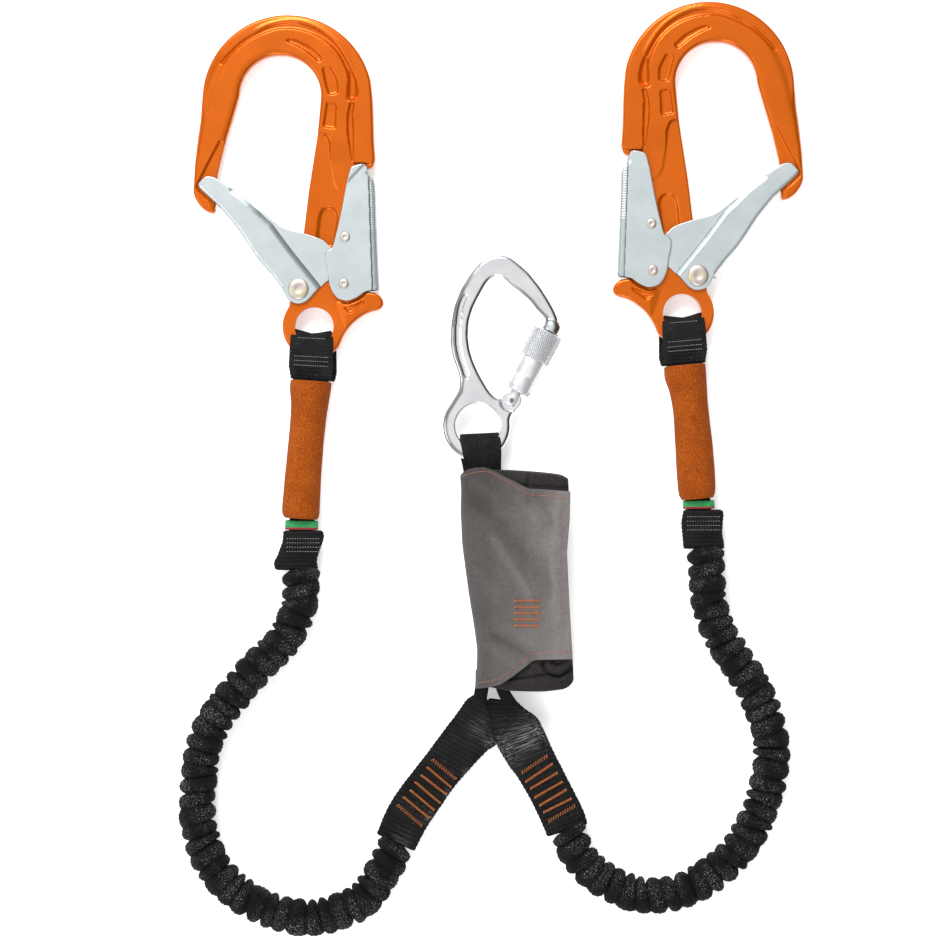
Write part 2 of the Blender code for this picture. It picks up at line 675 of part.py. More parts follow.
def hook_springs(side, plan_of, parent):
    """The torsion spring round the gate's rivet and the small coil spring behind the lever."""
    wire = 1.0 * MM
    turn = Matrix.Diagonal((plan_of.sign, 1, 1))
    coil = [turn @ point for point in coil_points(5.5 * MM, 1.25 * MM, 2.25, 10, math.radians(90))]
    foot = Vector((*plan_of.place(GATE_PIVOT), HOOK_MIDDLE + 1.6 * MM))
    leg = turn @ Vector((-12.6 * MM, -1.6 * MM, 2.25 * 1.25 * MM))
    points = [foot + point for point in coil + [coil[-1] + turn @ Vector((0, -1.5 * MM, 0)), leg]]
    gate_spring = tube(f"{side}_gate_spring", points, wire / 2, 0)
    finish(gate_spring, "spring_steel")
    gate_spring.parent = parent
    gate_spring.matrix_parent_inverse = parent.matrix_world.inverted()
    start = Vector((*plan_of.place((21.8, 88.0)), HOOK_MIDDLE))
    along = Matrix.Rotation(math.radians(90) * plan_of.sign, 3, "Y")
    points = [start + along @ point for point in coil_points(2.2 * MM, 2.35 * MM, 8, 6)]
    lever_spring = tube(f"{side}_lever_spring", points, 0.4 * MM, 0)
    finish(lever_spring, "spring_steel")
    lever_spring.parent = parent
    lever_spring.matrix_parent_inverse = parent.matrix_world.inverted()


def hook(side):
    """One scaffold hook with its gate, lever, rivets and springs."""
    drawing = HookPlan(side)
    swivel = empty(f"{side}_hook_swivel", (*drawing.eye, HOOK_MIDDLE))
    gate_axis = empty(f"{side}_gate_axis", (*drawing.place(GATE_PIVOT), HOOK_MIDDLE))
    lever_axis = empty(f"{side}_lever_axis", (*drawing.place(LEVER_PIVOT), HOOK_MIDDLE))
    for axis in (gate_axis, lever_axis):
        axis.parent = swivel
        axis.matrix_parent_inverse = swivel.matrix_world.inverted()
    bpy.context.view_layer.update()
    hook_frame(side, drawing, swivel)
    hook_gate(side, drawing, gate_axis)
    lock_lever(side, drawing, lever_axis)
    rivet = headed_rivet(
        f"{side}_gate_rivet", drawing.place(GATE_PIVOT), GATE_RIVET_RADIUS, BIG_HEAD_RADIUS,
        GATE_BAND[1] + GAP, HEAD[1], 20, swivel,
    )
    finish(rivet, "rivet_steel")
    small = [
        ("lever_rivet", LEVER_PIVOT, SMALL_RIVET_RADIUS, swivel),
        ("catch_pin", CATCH_PIN, PIN_RADIUS, lever_axis),
    ]
    for label, point, radius, parent in small:
        place = drawing.place(point)
        pin = headed_rivet(f"{side}_{label}", place, radius, SMALL_HEAD_RADIUS, HEAD[0], HEAD[1], 12, parent)
        finish(pin, "rivet_steel")
    hook_springs(side, drawing, swivel)


def carabiner_outline():
    """Nose, up and over the crown, down the long spine, round the ring and the gate's tang, and
    back up the inner side with a small bearing flat at the top."""
    outer = [
        (57.4, 68.3), (56.4, 74.5), (53.9, 80.9), (49.0, 90.0), (43.4, 99.1), (36.4, 108.2), (29.4, 114.5),
        (22.4, 119.8), (15.4, 121.4), (8.4, 120.0), (1.4, 115.9), (-5.6, 108.0), (-12.6, 97.0),
        (-17.5, 84.4), (-19.8, 70.4), (-20.0, 56.4), (-18.2, 47.3), (-14.9, 38.9), (-13.3, 31.9),
        (-14.2, 24.9), (-18.6, 18.0),
    ]
    ring = arc((0, 0), RING_OUTER, 155, 300, 12) + arc((-0.5, 0.0), 23.9, 318, 372, 4)
    heel = [(27.0, 12.4)]
    tang = arc(CARABINER_PIVOT, TANG_RADIUS, -42, 172, 12)
    inner = [
        (14.4, 19.2), (11.0, 21.8), (8.4, 24.9), (5.0, 30.4), (1.4, 36.8), (-2.1, 44.5), (-4.9, 52.9),
        (-6.3, 63.4), (-5.6, 73.9), (-2.8, 83.0), (1.4, 91.4), (6.3, 100.2), (8.6, 103.0), (11.4, 104.6),
        (15.4, 104.6), (19.0, 102.8), (23.8, 97.7), (29.4, 93.5), (36.4, 87.2), (41.3, 80.9), (46.9, 75.3),
    ]
    return outer + ring + heel + tang + inner


def carabiner():
    """Frame, rod gate on its pin, knurled sleeve, and the spring and plunger inside the gate."""
    centre = at(RING_CENTRE)
    middle = CARABINER_MIDDLE

    def place(point):
        return (centre[0] + point[0] * MM, centre[1] + point[1] * MM)

    swivel = empty("carabiner_swivel", (*centre, middle))
    pivot = place(CARABINER_PIVOT)
    gate_axis = empty("carabiner_gate_axis", (*pivot, middle))
    gate_axis.parent = swivel
    gate_axis.matrix_parent_inverse = swivel.matrix_world.inverted()
    bpy.context.view_layer.update()

    outline = [place(point) for point in carabiner_outline()]
    low, high = middle - CARABINER_HALF, middle + CARABINER_HALF
    body = slab("carabiner_frame", outline, low, high, chamfer=2.0 * MM)
    far = CARABINER_HALF + MM
    cuts = [("carabiner_ring_hole", centre, RING_HOLE * MM, 28), ("tang_hole", pivot, 1.9 * MM, 12)]
    for label, point, radius, sides in cuts:
        combine(body, cylinder(label, point, radius, middle - far, middle + far, sides), "DIFFERENCE")
    for face in (-1, 1):
        heights = sorted((middle + face * TANG_HALF, middle + face * far))
        cutter = cylinder(f"tang_side_{face + 1}", pivot, 8.2 * MM, *heights, sides=20)
        combine(body, cutter, "DIFFERENCE")
    settle(body)
    set_origin(body, (*centre, middle), swivel)
    shade(finish(body, "polished_aluminium"))

    # Parts of the gate are drawn upright along Z, then laid along the gate's tilt
    lay = Matrix.Translation((*pivot, middle)) @ Matrix.Rotation(-GATE_TILT, 4, "Z")
    lay = lay @ Matrix.Rotation(math.radians(-90), 4, "X")
    rod = cylinder("carabiner_gate", (0, 0), ROD_RADIUS, -5.2 * MM, 59.9 * MM, 20)
    fork = box("fork_slot", (-9 * MM, -TANG_HALF - GAP, -7 * MM), (9 * MM, TANG_HALF + GAP, 9.4 * MM))
    combine(rod, fork, "DIFFERENCE")
    combine(rod, cylinder("plunger_bore", (0, 0), 2.4 * MM, 5 * MM, 27 * MM, 12), "DIFFERENCE")
    pin_hole = cylinder("gate_pin_hole", (0, 0), 1.9 * MM, -9 * MM, 9 * MM, 12)
    pin_hole.data.transform(Matrix.Rotation(math.radians(90), 4, "X"))
    combine(rod, pin_hole, "DIFFERENCE")
    settle(rod)
    finish(rod, "polished_aluminium")

    sleeve_profile = [
        (8.9, 54.6), (COLLAR_RADIUS / MM - 0.8, 54.6), (COLLAR_RADIUS / MM, 53.8), (COLLAR_RADIUS / MM, 33.8),
        (COLLAR_RADIUS / MM - 0.8, 33.0), (BARREL_RADIUS / MM, 33.0), (BARREL_RADIUS / MM, 8.2),
        (BARREL_RADIUS / MM - 0.8, 7.4), (SLEEVE_BORE / MM, 7.4), (SLEEVE_BORE / MM, 45.5), (8.9, 45.5),
    ]
    sleeve = turned("carabiner_sleeve", [(r * MM, z * MM) for r, z in sleeve_profile], 24)
    settle(sleeve)
    finish(sleeve, "polished_aluminium")
    plunger = cylinder("carabiner_plunger", (0, 0), 2.0 * MM, 7.4 * MM, 14 * MM, 10)
    finish(plunger, "spring_steel")
    spring = tube("carabiner_spring", coil_points(1.5 * MM, 1.75 * MM, 6, 6), 0.3 * MM, 0)
    spring = as_mesh(spring)
    spring.data.transform(Matrix.Translation((0, 0, 15 * MM)))
    finish(spring, "spring_steel")
    for item in (rod, sleeve, plunger, spring):
        item.data.transform(Matrix.Translation((-pivot[0], -pivot[1], -middle)) @ lay)
        item.location = (*pivot, middle)
        item.parent = gate_axis
        item.matrix_parent_inverse = gate_axis.matrix_world.inverted()
        shade(item)
    pin = cylinder("carabiner_gate_pin", (0, 0), 1.6 * MM, -4.3 * MM, 4.3 * MM, 12)
    pin.location = (*pivot, middle)
    pin.parent = swivel
    pin.matrix_parent_inverse = swivel.matrix_world.inverted()
    shade(finish(pin, "spring_steel"))


def webbing_loop(name, plan_points, side_profile, ring, rim):
    """A strap loop round a ring that lies flat: its plan, trimmed to its side profile, less the
    ring's own room. Side profile points are (y, z); ring is (centre, middle height)."""
    strap = slab(name, plan_points, 0.2 * MM, 30 * MM)
    width = 0.2
    profile = slab(f"{name}_profile", side_profile, -width, width, collection=CUTTERS)
    # Local X, Y, Z of the profile become Y, Z and X of the table
    profile.data.transform(Matrix(((0, 0, 1, 0), (1, 0, 0, 0), (0, 1, 0, 0), (0, 0, 0, 1))))
    combine(strap, profile, "INTERSECT")
    (centre, middle), (hole, outer, half) = ring, rim
    room = cylinder(f"{name}_ring_room", centre, outer + GAP, middle - half - GAP, middle + half + GAP, 32)
    post = cylinder(f"{name}_ring_post", centre, hole - GAP, middle - half - MM, middle + half + MM, 32)
    combine(room, post, "DIFFERENCE")
    settle(room)
    file_in(post, CUTTERS)
    combine(strap, room, "DIFFERENCE")
    settle(strap)
    return strap


def grip_assembly(side):
    """Webbing through the hook's eye and the grip, the foam grip, the band and the sewn end."""
    swivel = empty(f"{side}_grip_swivel", (*at(LEG_ROUTE[side][0]), LEG_MIDDLE))
    _, top = at((0, WEBBING_TOP[side]))
    _, grip_top = at((0, GRIP_TOP[side]))
    _, end = at((0, TAIL_END[side]))
    layer = 2.3 * MM
    upper = HOOK_MIDDLE + HOOK_HALF + GAP + layer
    lower = HOOK_MIDDLE - HOOK_HALF - GAP - layer
    tail_top = TAIL_MIDDLE + TAIL_HALF
    tail_bottom = TAIL_MIDDLE - TAIL_HALF
    profile = [
        (top, HOOK_MIDDLE - 4 * MM), (top, HOOK_MIDDLE + 4 * MM), (top - 4 * MM, upper),
        (top - 22 * MM, upper),
        (grip_top + MM, tail_top), (end, tail_top), (end, tail_bottom), (grip_top + MM, tail_bottom),
        (top - 22 * MM, lower), (top - 4 * MM, lower),
    ]
    eye = at(EYE[side])
    webbing = webbing_loop(
        f"{side}_hook_webbing", plan(WEBBING_PLAN[side]), profile, (eye, HOOK_MIDDLE),
        (EYE_RADIUS, EYE_RIM, HOOK_HALF),
    )
    finish(webbing, "black_webbing")

    stations = GRIP_STATIONS[side]
    middle = [(*at(station[:2]), 0.0) for station in stations]
    widths = [station[2] * GRID / 2 / LEG_RADIUS for station in stations]
    grip = tube(f"{side}_grip", middle, LEG_RADIUS, 4, widths)
    grip = as_mesh(grip)
    grip.data.transform(Matrix.Translation((0, 0, TAIL_MIDDLE)) @ Matrix.Diagonal((1, 1, GRIP_FLATTENING, 1)))
    clear = 0.35 * MM
    low, high = TAIL_MIDDLE - TAIL_HALF - clear, TAIL_MIDDLE + TAIL_HALF + clear
    bore = slab(f"{side}_grip_bore", tail_outline(side, 0.6 * MM, 10 * MM), low, high)
    combine(grip, bore, "DIFFERENCE")
    settle(grip)
    shade(finish(grip, "orange_foam"))

    left, band_top, right, band_bottom = BAND_PLAN[side]
    corners = [(left, band_top), (right, band_top), (right, band_bottom), (left, band_bottom)]
    band = slab(f"{side}_indicator_band", plan(corners), TAIL_MIDDLE - 4.4 * MM, TAIL_MIDDLE + 4.4 * MM)
    tail_room = slab(f"{side}_band_room", tail_outline(side, clear, clear), low, high)
    combine(band, tail_room, "DIFFERENCE")
    settle(band)
    finish(band, "green_band")

    sewn = slab(
        f"{side}_sewn_end", plan(SEWN_PLAN[side]), TAIL_MIDDLE - 5.6 * MM, TAIL_MIDDLE + 5.6 * MM,
        chamfer=1.6 * MM,
    )
    slot = slab(f"{side}_sewn_slot", tail_outline(side, clear, clear), low, high)
    combine(sewn, slot, "DIFFERENCE")
    settle(sewn)
    finish(sewn, "black_webbing")
    for item in (webbing, grip, band, sewn):
        place = Vector(swivel.location)
        item.data.transform(Matrix.Translation(-place))
        item.location = place
        item.parent = swivel
        item.matrix_parent_inverse = swivel.matrix_world.inverted()


def tail_outline(side, clear, reach):
    """The webbing's straight tail, wider by a clearance and longer by a reach at each end."""
    a, b, c, d = (Vector(point) for point in plan(WEBBING_PLAN[side][6:10]))
    along = (b - a).normalized()
    across = (a - d).normalized()
    wide, long = across * clear, along * reach
    _, end = at((0, TAIL_END[side]))
    shorten = along * ((b.y - end) / along.y)
    b, c = b - shorten, c - shorten
    corners = [a + wide - long, b + wide + long, c - wide + long, d - wide - long]
    return [tuple(corner) for corner in corners]


def leg_line(side):
    route = [(*at(place), LEG_MIDDLE) for place in LEG_ROUTE[side]]
    return spaced(smooth(route, 6), 18 * MM)


def leg(side):
    """The elastic leg: a pleated sheath over a round elastic core, lying in a loose curve."""
    points = leg_line(side)
    sheath = tube(f"{side}_leg_sheath", points, LEG_RADIUS, 4, capped=False)
    bpy.context.view_layer.update()
    sheath = as_mesh(sheath)
    wall = sheath.modifiers.new("wall", "SOLIDIFY")
    wall.thickness = LEG_WALL
    wall.offset = -1.0
    shade(finish(sheath, "black_webbing"), 60)
    core = tube(f"{side}_leg_core", points, CORE_RADIUS, 2)
    finish(core, "rubber_core")


def arm(side):
    """The webbing arm between the absorber's loop and the lower end of the elastic leg."""
    before, end = (Vector(point[:2]) for point in leg_line(side)[-2:])
    along = (end - before).normalized()
    across = Vector((along.y, -along.x))
    foot = end + along * 0.6 * MM
    half = ARM_WIDTH / 2
    corners = [foot + across * half, foot - across * half]
    outline = [Vector(point) for point in plan(ARM_PLAN[side])]
    back = [Vector(point) for point in plan(ARM_PLAN[f"{side}_return"])]
    first = min(corners, key=lambda corner: (corner - outline[-1]).length)
    second = corners[1] if first is corners[0] else corners[0]
    points = [tuple(point) for point in outline + [first, second] + back]
    strap = slab(f"{side}_arm_strap", points, *ARM_Z)
    finish(strap, "black_webbing")
    loop = slab(f"{side}_bottom_loop", plan(BOTTOM_LOOP_PLAN[side]), 6.4 * MM, 17.6 * MM)
    _, top = at((0, 697.5))
    room = box(f"{side}_loop_room", (-0.2, -0.2, ARM_Z[0] - GAP), (0.2, top, ARM_Z[1] + GAP))
    combine(loop, room, "DIFFERENCE")
    settle(loop)
    finish(loop, "black_webbing")


def beside(points, shift):
    return [(x + shift, y) for x, y in points]


def absorber():
    """The pouch, the folded tear webbing in it, the wrap-round cover and its closing tapes."""
    pouch_plan = plan(list(reversed(beside(FLAP_LEFT, 3.2))) + list(reversed(POUCH_REST)))
    pouch = slab("absorber_pouch", pouch_plan, *POUCH_Z, chamfer=4.5 * MM, rounds=1)
    inner = slab("pouch_room", pouch_plan, *POUCH_Z, chamfer=4.5 * MM, rounds=1)
    shrink_to(inner, POUCH_WALL)
    combine(pouch, inner, "DIFFERENCE")
    x, y = at((460, 486))
    x2, y2 = at((506, 466))
    combine(pouch, box("pouch_mouth", (x, y, 2.9 * MM), (x2, y2, 21.5 * MM)), "DIFFERENCE")
    x, y = at((472, 696))
    x2, y2 = at((514, 672))
    combine(pouch, box("pouch_outlet", (x, y, 5.6 * MM), (x2, y2, 18.4 * MM)), "DIFFERENCE")
    settle(pouch)
    shade(finish(pouch, "black_fabric"), 50)

    tear = folded_webbing()
    finish(tear, "tear_webbing")

    wall = plan(FLAP_LEFT + list(reversed(beside(FLAP_LEFT, 1.75))))
    back = slab("cover_back", plan(FLAP_LEFT + FLAP_REST), 0.0, COVER_THICK)
    side_wall = slab("cover_side", wall, 0.4 * MM, COVER_TOP - 0.4 * MM)
    combine(back, side_wall, "UNION")
    settle(back)
    finish(back, "grey_fabric")

    hinge = Vector((*at(FLAP_HINGE[0]), COVER_TOP + COVER_THICK))
    foot = Vector((*at(FLAP_HINGE[1]), COVER_TOP + COVER_THICK))
    turn = math.atan2((foot - hinge).x, -(foot - hinge).y)
    flap_axis = empty("cover_flap_axis", (hinge + foot) / 2, turn)
    flap = slab("cover_flap", plan(beside(FLAP_LEFT, 0.8) + FLAP_REST), COVER_TOP, COVER_TOP + COVER_THICK)
    finish(flap, "grey_fabric")
    corners = plan([(536, 512), (561, 512), (561, 640), (536, 640)])
    low = POUCH_Z[1] + GAP
    tape = slab("pouch_loop_tape", corners, low, low + TAPE_THICK)
    finish(tape, "hook_tape")
    low = COVER_TOP - GAP - TAPE_THICK
    hooks = slab("flap_hook_tape", corners, low, low + TAPE_THICK)
    finish(hooks, "hook_tape")
    for item in (flap, hooks):
        item.parent = flap_axis
        item.matrix_parent_inverse = flap_axis.matrix_world.inverted()

    ring = at(RING_CENTRE)
    layer = 2.4 * MM
    upper = CARABINER_MIDDLE + CARABINER_HALF + GAP + layer
    lower = CARABINER_MIDDLE - CARABINER_HALF - GAP - layer
    top = ring[1] - 5.5 * MM
    profile = [
        (top, CARABINER_MIDDLE - 4 * MM), (top, CARABINER_MIDDLE + 4 * MM), (top - 3.5 * MM, upper),
        (top - 22 * MM, upper), (top - 34 * MM, 16 * MM), (ring[1] - 42 * MM, 16 * MM),
        (ring[1] - 42 * MM, 8 * MM), (top - 34 * MM, 8 * MM), (top - 22 * MM, lower), (top - 3.5 * MM, lower),
    ]
    strap = webbing_loop(
        "carabiner_strap", plan(STRAP_PLAN), profile, (ring, CARABINER_MIDDLE),
        (RING_HOLE * MM, RING_OUTER * MM, CARABINER_HALF),
    )
    finish(strap, "black_webbing")


def shrink_to(item, wall):
    """Scales a closed shape about its middle so that it lies a wall's thickness inside."""
    bound = [Vector(corner) for corner in item.bound_box]
    low = Vector([min(corner[axis] for corner in bound) for axis in range(3)])
    high = Vector([max(corner[axis] for corner in bound) for axis in range(3)])
    middle = (low + high) / 2
    scales = [(high[axis] - low[axis] - 2 * wall) / (high[axis] - low[axis]) for axis in range(3)]
    scale = Matrix.Diagonal((*scales, 1))
    item.data.transform(Matrix.Translation(middle) @ scale @ Matrix.Translation(-middle))


def folded_webbing():
    """The tear webbing, folded to and fro inside the pouch."""
    points = []
    for layer in range(TEAR_LAYERS):
        height = 5.6 * MM + TEAR_PITCH * layer
        run = [(-TEAR_HALF_LENGTH, height), (TEAR_HALF_LENGTH, height)]
        if layer % 2:
            run.reverse()
        points += run
        if layer < TEAR_LAYERS - 1:
            side = math.copysign(1, run[1][0])
            points.append((run[1][0] + side * TEAR_PITCH * 0.45, height + TEAR_PITCH / 2))
    ribbon = curve_object("tear_webbing", points, "2D", False, PARTS)
    ribbon.data.fill_mode = "NONE"
    ribbon.data.extrude = TEAR_WIDTH / 2
    bpy.context.view_layer.update()
    ribbon = as_mesh(ribbon)
    ribbon.data.transform(Matrix(((0, 0, 1, 0), (1, 0, 0, 0), (0, 1, 0, 0), (0, 0, 0, 1))))
    ribbon.data.transform(Matrix.Translation((0.002, -0.004, 0)))
    thick = ribbon.modifiers.new("thick", "SOLIDIFY")
    thick.thickness = TEAR_THICK
    thick.offset = 0.0
    return ribbon


def main():
    clear_scene()
    new_collection(PARTS)
    new_collection(CUTTERS)
    for side in ("left", "right"):
        hook(side)
        grip_assembly(side)
        leg(side)
        arm(side)
    carabiner()
    absorber()


main()
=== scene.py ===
# %% [markdown]
# # Dressing an energy absorbing Y-lanyard
#
# The lanyard's pieces already exist as plain solids that fit and move: two scaffold hooks, a screw
# carabiner, webbing, two elastic legs and a pack. This notebook dresses them one by one. The solids
# that look right stay and get a finish. The others are replaced by pieces modelled here, in the same
# place and at the same size.

# %% Load the frame
import json
import math
import random

import bmesh
import bpy
from mathutils import Matrix, Vector, noise

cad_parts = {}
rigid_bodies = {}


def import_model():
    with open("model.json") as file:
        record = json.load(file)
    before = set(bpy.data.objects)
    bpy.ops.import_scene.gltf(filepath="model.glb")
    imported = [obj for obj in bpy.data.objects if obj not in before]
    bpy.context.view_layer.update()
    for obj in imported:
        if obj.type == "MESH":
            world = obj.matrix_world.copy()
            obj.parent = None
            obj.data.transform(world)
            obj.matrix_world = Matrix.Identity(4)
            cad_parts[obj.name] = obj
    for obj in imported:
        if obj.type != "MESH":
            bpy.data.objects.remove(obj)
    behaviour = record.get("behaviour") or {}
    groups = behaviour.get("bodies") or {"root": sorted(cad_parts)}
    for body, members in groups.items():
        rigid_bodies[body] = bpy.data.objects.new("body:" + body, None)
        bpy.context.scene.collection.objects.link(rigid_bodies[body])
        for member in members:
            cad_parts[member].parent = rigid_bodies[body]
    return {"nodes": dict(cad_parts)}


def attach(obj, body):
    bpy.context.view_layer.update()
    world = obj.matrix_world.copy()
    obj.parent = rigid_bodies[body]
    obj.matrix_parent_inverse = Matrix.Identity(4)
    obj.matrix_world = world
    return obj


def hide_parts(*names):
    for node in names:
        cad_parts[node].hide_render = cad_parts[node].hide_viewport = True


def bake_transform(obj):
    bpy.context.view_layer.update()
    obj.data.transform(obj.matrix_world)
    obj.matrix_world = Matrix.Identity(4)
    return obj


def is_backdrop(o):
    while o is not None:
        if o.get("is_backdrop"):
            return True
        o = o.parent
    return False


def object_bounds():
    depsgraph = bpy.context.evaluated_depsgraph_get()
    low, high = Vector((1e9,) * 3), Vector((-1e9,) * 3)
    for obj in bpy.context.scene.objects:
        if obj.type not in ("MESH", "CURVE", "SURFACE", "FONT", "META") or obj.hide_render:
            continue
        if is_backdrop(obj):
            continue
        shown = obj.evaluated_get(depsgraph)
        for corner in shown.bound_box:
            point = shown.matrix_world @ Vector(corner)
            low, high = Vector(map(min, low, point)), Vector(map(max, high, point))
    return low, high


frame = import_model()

MM = 0.001
cad_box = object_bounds()

# %% [markdown]
# ## Places on the layout
#
# The lanyard was laid out on a grid of 0.7 mm squares that is counted right and down. Every strap is
# drawn on that grid. The hooks are drawn in millimetres about the centre of their eyes, and the
# carabiner about the centre of its ring, because a forging is a drawing of its own.

# %% The layout's grid
GRID = 0.7 * MM
PACK_CENTRE = (518.5, 581.5)
EYE = {"left": (313.0, 325.4), "right": (684.0, 311.8)}
SIGN = {"left": 1, "right": -1}
RING_CENTRE = (478.0, 425.5)


def at(x, y, z=0.0):
    """A grid place as a point in metres."""
    return Vector(((x - PACK_CENTRE[0]) * GRID, (PACK_CENTRE[1] - y) * GRID, z))


def on_grid(places, z=0.0):
    return [at(x, y, z) for x, y in places]


print("left eye at", [round(value, 4) for value in at(*EYE["left"])])

# %% [markdown]
# ## Small helpers
#
# Operators act on whatever is selected, and the loaded solids arrive selected, so each helper
# deselects first. `smooth` draws a soft line through a few points, which is how a maker draws a
# forging or the fall of a strap, and `modifier` applies each modifier as soon as it is added.

# %% Selecting and finishing
def pick(*items):
    """Selects only these objects and makes the last one active."""
    if bpy.context.object and bpy.context.object.mode != "OBJECT":
        bpy.ops.object.mode_set(mode="OBJECT")
    select_nothing()
    for item in items:
        item.select_set(True)
        bpy.context.view_layer.objects.active = item
    return items[-1]


def named(name):
    """Names the object that an operator has just added."""
    item = bpy.context.object
    item.name = name
    item.data.name = name
    return item


def ring_of_corners(name, count, **filling):
    """Adds a small circle, whose corners the caller then moves onto an outline."""
    select_nothing()
    bpy.ops.mesh.primitive_circle_add(vertices=count, radius=0.01, **filling)
    return named(name)


def flat_grid(name, columns, rows):
    """Adds a square grid, which the caller then lays along a line or wraps round it."""
    select_nothing()
    bpy.ops.mesh.primitive_grid_add(x_subdivisions=columns, y_subdivisions=rows, size=1.0)
    return named(name)


def mapped_in_metres(item, across, along, middle=0.0):
    """Stretches a grid's UV map to the piece's real size."""
    for loop in item.data.uv_layers.active.data:
        loop.uv = ((loop.uv[0] - middle) * across, loop.uv[1] * along)


def clamped(share):
    """Keeps a share between 0 and 1."""
    return min(max(share, 0.0), 1.0)


def select_nothing():
    bpy.ops.object.select_all(action="DESELECT")


def new_object(name, data):
    """Puts an object with this data into the scene."""
    item = bpy.data.objects.new(name, data)
    bpy.context.scene.collection.objects.link(item)
    return item


def corner_values(item, name):
    """A new value for each corner of a mesh, which a finish can read by its name."""
    return item.data.attributes.new(name, "FLOAT", "POINT").data


def place_applied(item):
    """Moves an object's place, turn and scale into its mesh."""
    pick(item)
    bpy.ops.object.transform_apply(location=True, rotation=True, scale=True)
    return item


def modifier(item, kind, **values):
    """Adds a modifier with these values and applies it."""
    pick(item)
    made = item.modifiers.new(kind.lower(), kind)
    for key, value in values.items():
        setattr(made, key, value)
    bpy.ops.object.modifier_apply(modifier=made.name)
    return item


def bevelled(item, width, segments):
    """Rounds every edge that is sharper than the limit."""
    limit = math.radians(50)
    return modifier(item, "BEVEL", width=width, segments=segments, limit_method="ANGLE", angle_limit=limit)


def smooth_shaded(item, degrees):
    pick(item)
    bpy.ops.object.shade_smooth_by_angle(angle=math.radians(degrees))
    return item


def joined(name, items):
    """Joins finished objects into one piece."""
    items = list(items)
    pick(*items)
    if len(items) > 1:
        bpy.ops.object.join()
    return named(name)


def cut(item, cutter, operation="DIFFERENCE"):
    """Cuts a shape with another, which is then thrown away."""
    modifier(item, "BOOLEAN", object=cutter, operation=operation, solver="EXACT")
    bpy.data.objects.remove(cutter, do_unlink=True)
    return item


def select_where(item, test, kind="VERT"):
    """Selects the corners or edges that pass a test, in edit mode."""
    pick(item)
    bpy.ops.object.mode_set(mode="EDIT")
    bpy.ops.mesh.select_mode(type=kind)
    bpy.ops.mesh.select_all(action="DESELECT")
    shape = bmesh.from_edit_mesh(item.data)
    for part in shape.edges if kind == "EDGE" else shape.verts:
        part.select = test(part)
    shape.select_flush_mode()
    bmesh.update_edit_mesh(item.data)


def back_to_object():
    bpy.ops.object.mode_set(mode="OBJECT")


def select_all_of(item):
    select_where(item, lambda part: True)


def turned_outwards(item):
    """Ends an edit by turning every face outwards."""
    bpy.ops.mesh.select_all(action="SELECT")
    bpy.ops.mesh.normals_make_consistent(inside=False)
    back_to_object()
    return item


def recalculated(item):
    """Merges doubled corners and turns every face outwards."""
    select_all_of(item)
    bpy.ops.mesh.remove_doubles(threshold=0.002 * MM)
    return turned_outwards(item)


# %% Lines and outlines
def smooth(points, steps=6):
    """A soft line through points (Catmull-Rom), which may be 2D or 3D."""
    line = [Vector(point) for point in points]
    ends = [2 * line[0] - line[1]] + line + [2 * line[-1] - line[-2]]
    found = []
    for a, b, c, d in zip(ends, ends[1:], ends[2:], ends[3:]):
        for step in range(steps):
            t = step / steps
            bend = 2 * a - 5 * b + 4 * c - d
            found.append(0.5 * (2 * b + (c - a) * t + bend * t * t + (3 * (b - c) + d - a) * t**3))
    return found + [line[-1].copy()]


def spaced(points, distance, closed=False):
    """Points an even distance apart along a line."""
    line = [Vector(point) for point in points]
    if closed:
        line.append(line[0].copy())
    runs = [0.0]
    for a, b in zip(line, line[1:]):
        runs.append(runs[-1] + (b - a).length)
    count = max(2, round(runs[-1] / distance))
    found = []
    start = 0
    for number in range(count + (0 if closed else 1)):
        wanted = runs[-1] * number / count
        while start < len(runs) - 2 and runs[start + 1] < wanted:
            start += 1
        share = (wanted - runs[start]) / max(runs[start + 1] - runs[start], 1e-9)
        found.append(line[start].lerp(line[start + 1], share))
    return found


def arc(centre, radius, start, end, steps):
    """Points along an arc, angles in degrees."""
    angles = [math.radians(start + (end - start) * step / steps) for step in range(steps + 1)]
    return [Vector((centre[0] + radius * math.cos(a), centre[1] + radius * math.sin(a))) for a in angles]


def line_length(points):
    return sum((b - a).length for a, b in zip(points, points[1:]))


def plate(name, outline, low, high):
    """A flat outline raised to a plate: a circle with a corner for each point of the outline,
    its corners moved onto the outline, extruded upwards."""
    item = ring_of_corners(name, len(outline), fill_type="NGON")
    for corner, point in zip(item.data.vertices, outline):
        corner.co = (point[0], point[1], low)
    pick(item)
    bpy.ops.object.mode_set(mode="EDIT")
    bpy.ops.mesh.select_all(action="SELECT")
    bpy.ops.mesh.extrude_region_move(TRANSFORM_OT_translate={"value": (0, 0, high - low)})
    return turned_outwards(item)


def peg(name, centre, radius, low, high, sides=48):
    """An upright round bar between two heights."""
    middle = (centre[0], centre[1], (low + high) / 2)
    select_nothing()
    bpy.ops.mesh.primitive_cylinder_add(vertices=sides, radius=radius, depth=high - low, location=middle)
    return place_applied(named(name))


print("helpers ready")

# %% [markdown]
# ## Floor, light and camera
#
# The lanyard lies flat and is looked at from straight above with a long lens. A real studio table
# would be a white sheet under big soft boxes. Here a broad plane is the table, three area lights are
# the boxes, and the sky is bright overhead, above, below and left of the picture, but dark on its
# right. Walls of metal that face up or down the picture shine, and those to the right stay dark.

